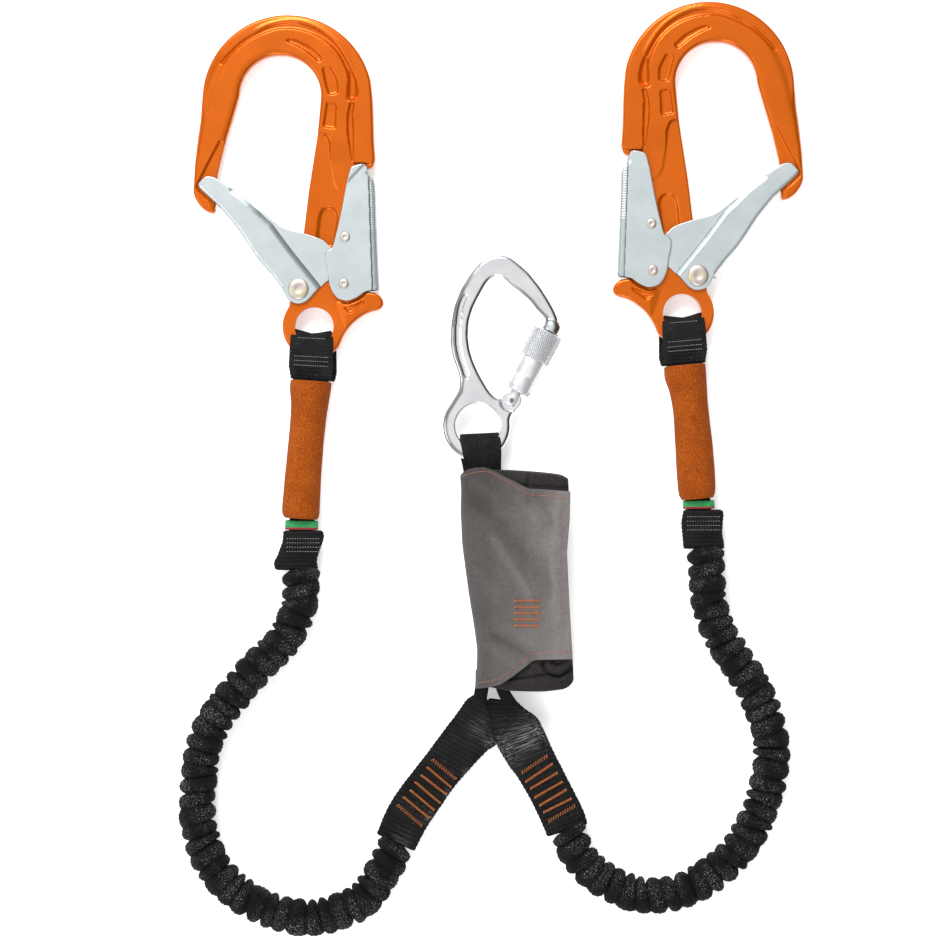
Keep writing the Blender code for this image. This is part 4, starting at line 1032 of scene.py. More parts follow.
# %% The forged body
CRESCENT = [
    (-20.6, 201.4), (-17, 203.2), (-11, 201.4), (-2.1, 196.6), (6.2, 189.1), (3.4, 186.3), (-5.5, 194),
    (-13.7, 198.6),
]
UPPER_POCKET = [(5.5, 182.2), (11.6, 182.9), (16.4, 173.3), (17.1, 164.4), (10.3, 163), (8.2, 169.9)]
LOWER_POCKET = [(8.9, 158.2), (15.8, 156.9), (15.1, 139.4), (6.2, 140.7)]
HORN_POCKET = [(19.9, 13.6), (24, 9.6), (25.5, 9.2), (32.2, 14), (36.4, 17), (35, 18.6), (28, 14.5)]
RAMP_TOP, RAMP_FOOT, RAMP_RIGHT = 19.0, -12.0, 24
SHOULDER_FOOT, SHOULDER_TOP, SHOULDER_RIGHT = 113.0, 134.0, 28.2
HORN_START, HORN_RUN = 15, 8
SPINE_THINNING = [
    (-24, 15.6), (-11, 15.2), (-3.5, 15.6), (3, 16.4), (12, 14.4), (17, 16.2), (24, 15.4), (31, 18.2),
    (35, 21), (38, 25), (47, 25.5), (47, 115.3), (27.9, 115.3), (27.9, 113), (13, 113), (11.6, 129),
    (8.4, 134), (-10, 136.5),
]
GATE_BAY = [
    (-10, 137.4), (8.4, 136.1), (10.5, 131.9), (11.2, 122.8), (12.6, 112.3), (14, 103.2), (15.6, 98.4),
    (18.2, 95.6), (24, 94), (24, 64), (14, 50), (-12, 46), (-20, 60), (-20.0, 137.4),
]
BAY_POCKET = [
    (2, 56), (2.6, 66), (3.6, 76), (5.4, 81.6), (8.6, 84.2), (12.6, 84.2), (15.6, 81.6), (16.6, 77),
    (15.4, 68.0), (13.4, 56.0),
]
NOSE_THINNING = [(-60, 131), (-67, 131), (-83, 100), (-83.2, 97.6), (-81.6, 95.2), (-69.6, 84.4), (-60, 84.4)]
GROOVE_OUTER = [
    (-66.5, 186.5), (-51.1, 201.2), (-37.1, 211), (-23.1, 215.2), (-9.1, 215.2), (4.9, 209.6),
    (15.4, 201.2), (22.4, 191.4), (27.3, 181.6), (30.1, 171.8), (30.8, 163.4), (27.5, 158.8),
]
GROOVE_INNER = [
    (23, 160), (23.4, 168), (23.8, 175.3), (21, 184.4), (15.4, 194.2), (4.9, 203.3), (-9.1, 208.9),
    (-23.1, 210), (-37.1, 206), (-51.1, 198.4), (-65, 184.6),
]
DEEP_END = [(24.6, 183), (28.4, 178), (29.8, 166), (28, 160.4), (24.4, 161), (24.6, 172)]
RUN_OUT = [(28.6, 158), (27.2, 150.8), (27.5, 143.8), (27.8, 136.8), (27.8, 116)]
RUN_OUT_SOFT = [(26, 116), (24.6, 127), (23.4, 137), (23.2, 144), (23.8, 151), (25.4, 158)]
VALLEY = [(-66, 187), (-74, 168), (-79, 148), (-85, 124)]


def bead(name, line, radius, height):
    """A round bar along a line, flush with a face."""
    points = spaced(smooth(scaled(line)), 1.5 * MM)

    def surface(row, turn):
        place = row * (len(points) - 1)
        step = min(int(place), len(points) - 2)
        middle = points[step].lerp(points[step + 1], place - step)
        along = (points[step + 1] - points[step]).normalized()
        width = radius * min(1.0, 0.25 + 6 * min(row, 1 - row))
        side = math.cos(turn) * width
        return Vector((middle.x + along.y * side, middle.y - along.x * side, height + math.sin(turn) * width))

    return wrapped_grid(name, len(points), 12, surface, (1, 1))


def hollowed_along(item, line, width, depth):
    """Presses a soft valley into both faces along a line."""
    points = spaced(smooth(scaled(line)), 2 * MM)
    for corner in item.data.vertices:
        height = corner.co.z - HOOK_MIDDLE
        if abs(height) < 0.6 * HOOK_HALF:
            continue
        flat = Vector((corner.co.x, corner.co.y))
        near = min((flat - point).length for point in points)
        corner.co.z -= math.copysign(depth * math.exp(-((near / width) ** 2)), height)
    return item


def ramped(item):
    """Lets both faces rise gently from the thin spine to the full width, at the eye and at the shoulder."""
    for corner in item.data.vertices:
        x, y = corner.co.x / MM, corner.co.y / MM
        height = corner.co.z - HOOK_MIDDLE
        if 0 < x < SHOULDER_RIGHT and SHOULDER_FOOT - 2 < y < SHOULDER_TOP:
            share = max((y - SHOULDER_FOOT) / (SHOULDER_TOP - SHOULDER_FOOT), 0.0)
            most = THIN_HALF + (HOOK_HALF - THIN_HALF) * share * share * (3 - 2 * share)
            if abs(height) > most:
                corner.co.z = HOOK_MIDDLE + math.copysign(most, height)
        if RAMP_FOOT - 2 < y < RAMP_TOP + 1 and x < RAMP_RIGHT:
            share = clamped((RAMP_TOP - y) / (RAMP_TOP - RAMP_FOOT))
            share = max(share * share * (3 - 2 * share), clamped((x - HORN_START) / HORN_RUN))
            most = THIN_HALF + (HOOK_HALF - THIN_HALF) * share
            if abs(height) > most:
                corner.co.z = HOOK_MIDDLE + math.copysign(most, height)


def hook_body():
    points, widths = [], []
    for run, width in HOOK_RUNS:
        run_points = scaled(run)
        points += run_points
        widths += [width * MM] * len(run_points)
    line = softened(points, 1.4 * MM, 3)
    line_widths = []
    for point in line:
        near = min(range(len(points)), key=lambda number: (points[number] - point).length)
        line_widths.append(widths[near])
    for _ in range(8):
        before, after = line_widths[-1:] + line_widths[:-1], line_widths[1:] + line_widths[:1]
        line_widths = [(a + b + c) / 3 for a, b, c in zip(before, line_widths, after)]
    body = forged_plate("hook_body", line, HOOK_MIDDLE - HOOK_HALF, HOOK_MIDDLE + HOOK_HALF, line_widths,
                        1.9 * MM)
    both_faces(body, "spine", SPINE_THINNING, THIN_HALF)
    both_faces(body, "gate_bay", softened(GATE_BAY, 1.5, 2), 3.7 * MM)
    both_faces(body, "bay_slope", softened([(x - 1.2, y + 0.5) for x, y in BAY_POCKET], 1.0, 2), 3.0 * MM)
    both_faces(body, "bay_pocket", softened(BAY_POCKET, 1.0, 2), 2.0 * MM)
    both_faces(body, "nose", NOSE_THINNING, THIN_HALF - 0.2 * MM)
    for number, pocket in enumerate((CRESCENT, UPPER_POCKET, LOWER_POCKET, HORN_POCKET)):
        both_faces(body, f"pocket_{number}", softened(pocket, 1.0, 2), HOOK_HALF - 1.6 * MM)
    groove = smooth(GROOVE_OUTER, 4) + smooth(GROOVE_INNER, 4)
    both_faces(body, "groove", groove, HOOK_HALF - 1.5 * MM)
    both_faces(body, "deep_end", softened(DEEP_END, 1.0, 2), HOOK_HALF - 2.8 * MM)
    both_faces(body, "run_out", smooth(RUN_OUT, 4) + smooth(RUN_OUT_SOFT, 4), HOOK_HALF - 2.2 * MM)
    through = (HOOK_MIDDLE - 9 * MM, HOOK_MIDDLE + 9 * MM)
    holes = [("eye", (0, 0), EYE_RADIUS), ("gate_hole", GATE_PIVOT, 3.7), ("lever_hole", LEVER_PIVOT, 2.0)]
    for label, centre, radius in holes:
        cut(body, peg(label, Vector(centre) * MM, radius * MM, *through))
    slot = arc((CATCH_PIN[0] - 3.6, CATCH_PIN[1]), 2.6, 90, 270, 8) + arc(CATCH_PIN, 2.6, -90, 90, 8)
    cut(body, plate("pin_slot", scaled(slot), *through))
    seat = arc(GATE_PIVOT, 7.2, -60, 180, 20) + [Vector(place) for place in ((-24, 27), (-24, 22), (-11, 20))]
    cut(body, plate("spring_seat", scaled(seat), HOOK_MIDDLE + 0.8 * MM, through[1]))
    bore = peg("spring_bore", (0, 0), 3.1 * MM, 0.0, 14 * MM)
    across = Matrix.Rotation(math.radians(90), 4, "Y")
    bore.data.transform(Matrix.Translation((21.0 * MM, 88.0 * MM, HOOK_MIDDLE)) @ across)
    cut(body, bore)
    lip_heights = [HOOK_MIDDLE + face * (HOOK_HALF - 1.4 * MM) for face in (-1, 1)]
    lips = [bead("lip", GROOVE_OUTER[1:10], 1.9 * MM, height) for height in lip_heights]
    body = joined("hook_body", [body] + lips)
    rounded_by_voxels(body, 0.68 * MM, 4)
    hollowed_along(body, VALLEY, 3.4 * MM, 0.9 * MM)
    ramped(body)
    print("hook body:", len(body.data.polygons), "faces")
    return body


hook_master = hook_body()

# %% [markdown]
# ### Gate and palm lever
#
# Both are cut from steel sheet about 1.4 mm thick and folded into a channel, so that they straddle
# the forging. The fold is a round edge, and the gate's wing is joggled inwards by one sheet so that
# it slides under the lever. The channel is made as a solid whose fold has a wide round rim, and then
# its inside is cut out. The same voxels, only finer, give the sheet its rolled edges.

# %% The gate
WING = (4.3 * MM, 5.7 * MM)
BAND = (5.6 * MM, 7.0 * MM)
CHEEK = (6.3 * MM, 7.5 * MM)
GATE_BACK = [
    (-81.6, 97.6), (-65.2, 82.4), (-53.7, 68.4), (-44, 53.4), (-39.2, 46.6), (-29.5, 35.6), (-24.7, 28.8),
]
GATE_TIP = [(-70.6, 105.6), (-76.6, 106.2), (-82.4, 100.2)]
GATE_SEAM = [(4.8, 27.9), (-15.8, 53.4), (-29.5, 71.9), (-36.3, 78.1), (-45.2, 87.3), (-56.9, 96.6)]
WING_TOP = [
    (12.4, 54.8), (8.2, 59.6), (3.4, 62.3), (-7.5, 65.8), (-15.8, 67.8), (-22.6, 69.9), (-28.1, 74),
    (-36, 80.4),
]


def about_middle(half):
    return HOOK_MIDDLE - half, HOOK_MIDDLE + half


def distance_to(point, line):
    """How far a point lies from a line, in plan."""
    best = 1e9
    for a, b in zip(line, line[1:]):
        run = b - a
        share = clamped((point - a).dot(run) / max(run.length_squared, 1e-12))
        best = min(best, (point - a - run * share).length)
    return best


def rim_widths(line, wide_points, wide, narrow, reach):
    """The width of a sloping rim: wide near some points of the outline and narrow elsewhere."""
    marks = spaced(scaled(wide_points), 1 * MM)
    widths = []
    for point in line:
        near = min((point - mark).length for mark in marks)
        widths.append(wide if near < reach else narrow)
    return widths


def gate_channel():
    heel = arc(GATE_PIVOT, 10.6, 190, 322, 20)
    band_points = [Vector(point) for point in GATE_BACK] + heel + [Vector((1.4, 24.7))]
    band_points += [Vector(point) for point in GATE_SEAM + GATE_TIP]
    line = softened(scaled(band_points), 1.2 * MM, 2)
    widths = rim_widths(line, GATE_BACK, 2.4 * MM, 0.5 * MM, 1.5 * MM)
    gate = forged_plate("gate", line, *about_middle(BAND[1]), widths, 1.7 * MM)
    hidden = [(6, 29), (15, 37), (17.6, 46), (15.6, 52)]
    wing = [(-11.0, 17.0), (-3.0, 19.5), (1.4, 24.7)] + hidden + WING_TOP + [(-45.0, 86.0), (-39.0, 60.0)]
    cut(gate, plate("wing", softened(scaled(wing), 1.5 * MM, 2), *about_middle(WING[1])), "UNION")
    inside = [(x + 1.1, y + 1.0) for x, y in GATE_BACK[1:-1]]
    mouth = [(-67.3, 83), (-84, 83), (-84, 110)]
    open_side = [(20, 110), (20, 12), (-30, 12), (-27.5, 33)]
    narrow_room = mouth + open_side + inside[:0:-1] + [(-67.3, 88.4)]
    cut(gate, plate("narrow_room", scaled(narrow_room), *about_middle(WING[0])))
    wide_room = [(-67.3, 83), (-84, 83), (-84, 110), (-66, 110), (-57.6, 94.8), (-47.4, 83.9)]
    wide_room += [(-38.6, 74.6), (-30, 65.2), (-15.4, 44.2), (-2, 26.6), (-4, 20), (-6, 12)]
    wide_room += [(-30.0, 12.0), (-27.5, 33.0)] + inside[:0:-1] + [(-67.3, 88.4)]
    cut(gate, plate("wide_room", scaled(wide_room), *about_middle(BAND[0])))
    cut(gate, peg("rivet_hole", Vector(GATE_PIVOT) * MM, 3.8 * MM, *about_middle(9 * MM)))
    slot = arc(GATE_PIVOT, 34.3, -19, 48.6, 16) + arc((10.2, 50.5), 2.2, 50, 225, 8)
    slot += arc(GATE_PIVOT, 29.9, 48.6, -19, 16)
    cut(gate, plate("rivet_path", scaled(slot), *about_middle(9 * MM)))
    rounded_by_voxels(gate, 0.42 * MM, 2)
    seam = scaled(GATE_SEAM)
    # Painted shade: the joggle's slope beside the seam is painted dark, fading out towards the gate's tip.
    shade = corner_values(gate, "painted_shade")
    for corner in gate.data.vertices:
        height = corner.co.z - HOOK_MIDDLE
        if abs(height) > WING[1]:
            near = distance_to(corner.co.xy, seam)
            limit = WING[1] + 0.1 * MM + 0.36 * near
            corner.co.z = HOOK_MIDDLE + math.copysign(min(abs(height), limit), height)
            fade = clamped((92 * MM - corner.co.y) / (12 * MM))
            if abs(height) > WING[1] + 0.06 * MM:
                shade[corner.index].value = max(0.0, 1 - near / (4.2 * MM)) ** 0.6 * 0.8 * fade
    print("gate:", len(gate.data.polygons), "faces")
    return gate


gate_master = gate_channel()

# %% The palm lever
LEVER_BACK = [(38.8, 107.4), (42.9, 103.4), (43.8, 74), (45.9, 25.6)]
LEVER_TOP = [(24.6, 108.6), (25.8, 112.6), (31.4, 114.4), (36.4, 114.8), (37.8, 110.4)]
LEVER_FRONT = [
    (40.4, 25.6), (35.6, 24.2), (32.2, 21.2), (26.7, 18.5), (21.9, 17.8), (16.4, 19.4), (13, 23.6),
    (10.6, 29.4), (9.8, 36), (9.2, 41), (8, 45), (7.3, 49.4), (8.6, 53.2), (12.9, 55.6), (17.2, 72.7),
    (19.6, 84.4), (22.2, 98.4),
]
FOLD_TOP, FOLD_LEAN, STRIP_DROP = 40.8 * MM, 0.034, 1.1 * MM
LEVER_ROOM = [(0, 10), (46.2, 10), (44.3, 28), (42.3, 74), (41.2, 100), (46, 101), (46, 122), (0, 122)]


def palm_lever():
    line = softened(scaled(LEVER_TOP + LEVER_BACK + LEVER_FRONT), 1.2 * MM, 2)
    widths = rim_widths(line, LEVER_BACK, 3.0 * MM, 0.4 * MM, 1.5 * MM)
    lever = forged_plate("lever", line, *about_middle(CHEEK[1]), widths, 1.8 * MM)
    cut(lever, plate("lever_room", scaled(LEVER_ROOM), *about_middle(CHEEK[0])))
    for label, centre, radius in (("lever_hole", LEVER_PIVOT, 2.0), ("pin_hole", CATCH_PIN, 2.3)):
        cut(lever, peg(label, Vector(centre) * MM, radius * MM, *about_middle(9 * MM)))
    rounded_by_voxels(lever, 0.42 * MM, 2)
    bend_start, bend_end = Vector((20.3, 97.2)) * MM, Vector((36.9, 114.9)) * MM
    fold = (bend_end - bend_start).normalized()
    outwards = Vector((-fold.y, fold.x))
    for corner in lever.data.vertices:
        height = corner.co.z - HOOK_MIDDLE
        flat = Vector((corner.co.x, corner.co.y))
        past = (flat - bend_start).dot(outwards)
        if past > 0 and abs(height) > 0.8 * CHEEK[0] and flat.x < 39 * MM:
            corner.co.z += math.copysign(min(0.5 * past, 0.9 * MM), height)
    # Painted shade: the strip beyond the fold is painted darker, with a dark line along the fold.
    shade = corner_values(lever, "painted_shade")
    for corner in lever.data.vertices:
        height = corner.co.z - HOOK_MIDDLE
        past = corner.co.x - (FOLD_TOP - FOLD_LEAN * (corner.co.y - 26 * MM))
        if past > 0 and abs(height) > 0.6 * CHEEK[0]:
            corner.co.z -= math.copysign(min(2.2 * past, STRIP_DROP), height)
            shade[corner.index].value = 0.22 + 0.6 * max(0.0, 1 - past / (1.3 * MM))
        if past > 1.2 * MM and 66 * MM < corner.co.y < 102 * MM:
            corner.co.z += math.copysign(0.16 * MM, height) * math.cos(corner.co.y / (1.8 * MM) * 2 * math.pi)
    print("lever:", len(lever.data.polygons), "faces")
    return lever


lever_master = palm_lever()

# %% [markdown]
# ### Rivets and pins
#
# A rivet is a bar whose ends are spread in a press, so its head is a low dome with a dimple where the
# punch stood. It is a turned shape: half its profile is drawn once and spun about its axis.

# %% Turned pieces
SPIN_STEPS = 48
RIVET_TOP = 8.6


def turned(name, profile, closed=False):
    """Spins a profile of (radius, height), in metres, about the upright axis."""
    item = ring_of_corners(name, len(profile))
    for corner, (radius, height) in zip(item.data.vertices, profile):
        corner.co = (radius, 0.0, height)
    last = {0, len(profile) - 1}
    if not closed:
        select_where(item, lambda edge: {corner.index for corner in edge.verts} == last, "EDGE")
        bpy.ops.mesh.delete(type="EDGE")
        back_to_object()
    select_all_of(item)
    bpy.ops.mesh.spin(steps=SPIN_STEPS, angle=2 * math.pi, center=(0, 0, 0), axis=(0, 0, 1))
    bpy.ops.mesh.select_all(action="SELECT")
    bpy.ops.mesh.remove_doubles(threshold=0.004 * MM)
    bpy.ops.mesh.dissolve_degenerate(threshold=0.001 * MM)
    return smooth_shaded(turned_outwards(item), 50)


def riveted_bar(name, centre, shaft, head, under, dimple):
    """Half of the profile, in mm: a dimpled dome, the head's edge and the shaft, mirrored below."""
    top = RIVET_TOP
    dome = [
        (0.0, top - dimple), (0.30 * head, top - dimple), (0.42 * head, top - 0.15 * dimple),
        (0.56 * head, top), (0.78 * head, top - 0.10 * (top - under)),
        (0.93 * head, top - 0.32 * (top - under)), (head, top - 0.62 * (top - under)), (head, under),
        (shaft, under),
    ]
    bar = turned(name, scaled(dome + [(radius, -height) for radius, height in reversed(dome)]))
    bar.data.transform(Matrix.Translation((centre[0] * MM, centre[1] * MM, HOOK_MIDDLE)))
    return bar


gate_rivet = riveted_bar("gate_rivet", GATE_PIVOT, 3.5, 7.2, 7.3, 0.35)
lever_rivet = riveted_bar("lever_rivet", LEVER_PIVOT, 1.75, 3.4, 7.8, 0.3)
catch_pin = riveted_bar("catch_pin", CATCH_PIN, 2.0, 3.4, 7.8, 0.3)
print("rivets:", [len(rivet.data.polygons) for rivet in (gate_rivet, lever_rivet, catch_pin)], "faces")

# %% Two hooks from one
HOOK_PIECES = [
    (hook_master, "hook_frame", "hook", "forged_hook", "anodised_orange"),
    (gate_master, "hook_gate", "gate", "pressed_gate", "zinc_steel"),
    (lever_master, "lock_lever", "lever", "pressed_lever", "zinc_steel"),
    (gate_rivet, "gate_rivet", "hook", "domed_gate_rivet", "rivet_steel"),
    (lever_rivet, "lever_rivet", "hook", "domed_lever_rivet", "rivet_steel"),
    (catch_pin, "catch_pin", "lever", "domed_catch_pin", "rivet_steel"),
]


def fitted_copy(master, name, side):
    """A copy with its own mesh, mirrored for the right side and moved to that side's eye."""
    item = new_object(name, master.data.copy())
    item.scale.x = SIGN[side]
    item.location = at(*EYE[side])
    place_applied(item)
    return recalculated(item) if SIGN[side] < 0 else item


for side in SIGN:
    for master, node, body, label, finish in HOOK_PIECES:
        piece = fitted_copy(master, f"{side}_{label}", side)
        smooth_shaded(piece, 60)
        wears(piece, finish)
        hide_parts(f"{side}_{node}")
        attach(piece, f"{side}_{body}")
for master, *_ in HOOK_PIECES:
    bpy.data.objects.remove(master, do_unlink=True)
print("hooks dressed")

# %% [markdown]
# ## Screw carabiner
#
# The frame is forged and then polished, so its section is nearly round, with a long shallow recess
# down the spine. It is made like the hooks, with a wide rim that rounds the section. The gate is a
# plain rod with a fork at its foot. The sleeve turns on it, and its collar is knurled with crossing
# diamonds that are real relief, made by wrapping a grid round the collar.

# %% The frame
CARABINER_MIDDLE = 11.4 * MM
CARABINER_HALF = 5.5 * MM
TANG_HALF = 2.5 * MM
GATE_TILT = math.radians(27.8)
CARABINER_PIVOT = (23.8, 17.9)
FRAME_OUTER = [
    (58, 67), (57.5, 73.8), (54.9, 80.7), (50, 89.6), (44, 98.8), (36.4, 108.2), (29.4, 114.5),
    (22.4, 119.8), (15.4, 121.4), (8.4, 120), (1.4, 115.9), (-5.6, 108), (-12.6, 97), (-17.5, 84.4),
    (-19.8, 70.4), (-20, 56.4), (-18.2, 47.3), (-14.9, 38.9), (-13.3, 31.9), (-14.2, 24.9), (-18.6, 18.0),
]
FRAME_INNER = [
    (14.4, 19.2), (11, 21.8), (8.4, 24.9), (5, 30.4), (1.4, 36.8), (-2.1, 44.5), (-4.9, 52.9),
    (-6.3, 63.4), (-5.6, 73.9), (-2.8, 83), (1.4, 91.4), (6.3, 100.2), (8.6, 103), (11.4, 104.6),
    (15.4, 104.6), (19, 102.8), (23.8, 97.7), (29.4, 93.5), (36.4, 87.2), (41.3, 80.9), (46.9, 75.3),
]
SPINE_RECESS = [(-8.2, 93.5), (-12, 84), (-13.8, 70.4), (-13.9, 58), (-12.4, 49), (-9.4, 40), (-7.4, 33)]


def carabiner_frame():
    ring = arc((0, 0), 25.5, 155, 300, 40) + arc((-0.5, 0.0), 23.9, 318, 372, 14)
    tang = arc(CARABINER_PIVOT, 7.0, -42, 172, 24)
    points = [Vector(point) for point in FRAME_OUTER] + ring + [Vector((27.0, 12.4))] + tang
    points += [Vector(point) for point in FRAME_INNER]
    line = softened(scaled(points), 1.2 * MM, 4)
    frame_body = forged_plate(
        "carabiner_body", line, CARABINER_MIDDLE - CARABINER_HALF, CARABINER_MIDDLE + CARABINER_HALF,
        [2.7 * MM] * len(line), 3.0 * MM,
    )
    far = 8 * MM
    through = (CARABINER_MIDDLE - far, CARABINER_MIDDLE + far)
    cut(frame_body, peg("ring_hole", (0, 0), 16.0 * MM, *through, sides=96))
    cut(frame_body, peg("pin_hole", Vector(CARABINER_PIVOT) * MM, 1.9 * MM, *through))
    for face in (-1, 1):
        heights = sorted((CARABINER_MIDDLE + face * TANG_HALF, CARABINER_MIDDLE + face * far))
        cut(frame_body, peg("tang_side", Vector(CARABINER_PIVOT) * MM, 8.4 * MM, *heights))
        spine = smooth(SPINE_RECESS, 5)
        last = len(spine) - 1
        wide = [2.1 * min(1.0, 0.45 + 0.3 * min(number, last - number)) for number in range(last + 1)]
        left = [point - Vector((width, 0)) for point, width in zip(spine, wide)]
        right = [point + Vector((width, 0)) for point, width in zip(spine, wide)]
        heights = sorted((CARABINER_MIDDLE + face * (CARABINER_HALF - 0.7 * MM),
                          CARABINER_MIDDLE + face * far))
        cut(frame_body, plate("recess", scaled(left + right[::-1]), *heights))
    lay = gate_lay(Vector((0, 0)))
    profile = [(0, 65), (5.6, 64.2), (7.4, 61.8), (7.8, 60), (7.8, 55.6), (7.2, 55.2), (0, 55.2)]
    nose = turned("nose", scaled(profile))
    nose.data.transform(lay @ Matrix.Translation((0.6 * MM, 0, 0)))
    gate_room = box_between("gate_room", (-14 * MM, -5.4 * MM, 50 * MM), (5.6 * MM, 5.4 * MM, 60.4 * MM))
    gate_room.data.transform(lay)
    cut(nose, gate_room)
    frame_body = joined("carabiner_body", [frame_body, nose])
    rounded_by_voxels(frame_body, 0.55 * MM, 5)
    # Painted reflection: dark bands a little inside the outer rim of the spine and ring, and inside the inner
    # rim by the nose, where the section turns.
    outside = scaled([Vector(point) for point in FRAME_OUTER[11:]] + arc((0, 0), 25.5, 155, 262, 24))
    inside = scaled(FRAME_INNER[-5:])
    shade = corner_values(frame_body, "painted_shade")
    for corner in frame_body.data.vertices:
        if abs(corner.co.z - CARABINER_MIDDLE) > 1.5 * MM:
            first = (distance_to(corner.co.xy, outside) / MM - 2.8) / 0.95
            second = (distance_to(corner.co.xy, inside) / MM - 2.4) / 0.7
            first = math.exp(-first * first) * clamped((112 * MM - corner.co.y) / (16 * MM))
            second = math.exp(-second * second) * clamped((corner.co.x - 24 * MM) / (9 * MM))
            shade[corner.index].value = 0.95 * max(first, second)
    print("carabiner frame:", len(frame_body.data.polygons), "faces")
    return frame_body


def gate_lay(centre):
    """Lays a shape that was drawn upright along the gate, its foot at the gate's pivot."""
    pivot = Vector((centre.x + CARABINER_PIVOT[0] * MM, centre.y + CARABINER_PIVOT[1] * MM, CARABINER_MIDDLE))
    turn = Matrix.Rotation(-GATE_TILT, 4, "Z") @ Matrix.Rotation(math.radians(-90), 4, "X")
    return Matrix.Translation(pivot) @ turn


def box_between(name, low, high):
    """A box between two corners, as a cutter."""
    select_nothing()
    size = [b - a for a, b in zip(low, high)]
    middle = [(a + b) / 2 for a, b in zip(low, high)]
    bpy.ops.mesh.primitive_cube_add(size=1, location=middle, scale=size)
    return place_applied(named(name))


ring_centre = at(*RING_CENTRE)
body = carabiner_frame()
body.data.transform(Matrix.Translation(ring_centre))
body.name = "forged_carabiner"
smooth_shaded(body, 60)
wears(body, "polished_aluminium")
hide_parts("carabiner_frame")
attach(body, "carabiner")

# %% Rod gate and knurled sleeve
COLLAR = 11.2 * MM
DIAMOND_SHARE, GROOVE_SHADE = 2.6, 0.6


def rod_gate():
    tip = [
        (0, 59.9), (2.6, 59.9), (4, 59.4), (4.7, 58.5), (5, 57.4), (5, 54.6), (4.5, 54.2), (4.5, 52.8),
        (5, 52.4),
    ]
    foot = [(5, -2), (4.6, -4), (3.2, -5), (0, -5.2)]
    rod = turned("rod", scaled(tip + foot))
    half = TANG_HALF + 0.3 * MM
    cut(rod, box_between("fork", (-9 * MM, -half, -7 * MM), (9 * MM, half, 9.4 * MM)))
    cut(rod, peg("bore", (0, 0), 2.4 * MM, 5 * MM, 27 * MM))
    hole = peg("hole", (0, 0), 1.9 * MM, -9 * MM, 9 * MM)
    hole.data.transform(Matrix.Rotation(math.radians(90), 4, "X"))
    return cut(rod, hole)


def knurled(name, radius, low, high, depth, around, lobes_up):
    """A collar whose surface is crossed by two sets of slanting grooves."""
    def groove(row, turn):
        """1 in the middle of a groove, 0 on a diamond."""
        u, v = turn / (2 * math.pi) * around, row * lobes_up
        nearest = min(abs(((u + v) % 1) - 0.5), abs(((u - v) % 1) - 0.5)) * 2
        return max(0.0, 1 - nearest * DIAMOND_SHARE)

    def surface(row, turn):
        height = low + (high - low) * row
        edge = min(row, 1 - row) * (high - low)
        rim = max(0.0, 1 - edge / (0.9 * MM))
        reach = radius - depth * groove(row, turn) * (1 - rim) - 0.7 * MM * rim * rim
        return Vector((reach * math.cos(turn), reach * math.sin(turn), height))

    # Painted shade: the grooves are painted darker by GROOVE_SHADE.
    return wrapped_grid(name, lobes_up * 6, around * 6, surface, (2 * math.pi * radius, high - low),
                        lambda row, turn: GROOVE_SHADE * groove(row, turn))


def sleeve():
    barrel = turned("barrel", scaled([
        (5.4, 7.4), (8.9, 7.4), (9.5, 7.7), (9.75, 8.3), (9.75, 19), (9.55, 19.3), (9.55, 19.9),
        (9.75, 20.2), (9.75, 32.2), (9.5, 33.2), (5.4, 33.2),
    ]), closed=True)
    collar = knurled("collar", COLLAR, 33.0 * MM, 54.6 * MM, 0.55 * MM, 34, 11)
    bore = peg("bore", (0, 0), 5.4 * MM, 5 * MM, 50 * MM)
    mouth = peg("mouth", (0, 0), 8.9 * MM, 45.5 * MM, 60 * MM, sides=64)
    cut(collar, bore)
    cut(collar, mouth)
    notches = [Matrix.Rotation(math.radians(angle), 4, "Z") for angle in (60, 150, 240, 330)]
    for turn in notches:
        notch = box_between("notch", (8.6 * MM, -1.3 * MM, 7 * MM), (11 * MM, 1.3 * MM, 10.5 * MM))
        notch.data.transform(turn)
        cut(barrel, notch)
    return joined("sleeve", [barrel, collar])


for item, label, body_name in (
    (rod_gate(), "carabiner_gate", "carabiner_gate"), (sleeve(), "carabiner_sleeve", "carabiner_sleeve"),
):
    item.data.transform(gate_lay(ring_centre))
    item.name = f"turned_{label}"
    smooth_shaded(item, 40)
    wears(item, "turned_aluminium", "polished_aluminium")
    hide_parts(label)
    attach(item, body_name)
    print(item.name, len(item.data.polygons), "faces")

# %% [markdown]
# ## Webbing, grips and stitches
#
# Webbing is a flat woven strap. A strap is made from a grid: its columns run across the strap and its
# rows along it. The grid is laid along a line, given its width at each place, thickened with Solidify
# and rounded with Bevel. The grid's UV map is stretched to the strap's real size, so the weave runs
# along it however it bends. Cross ribs are pushed up row by row, because they show at its edges.

# %% Straps
def value_at(stops, place):
    """Reads a value between stops of (place, value)."""
    for (low, first), (high, second) in zip(stops, stops[1:]):
        if place <= high:
            share = (place - low) / max(high - low, 1e-9)
            return first + (second - first) * clamped(share)
    return stops[-1][1]


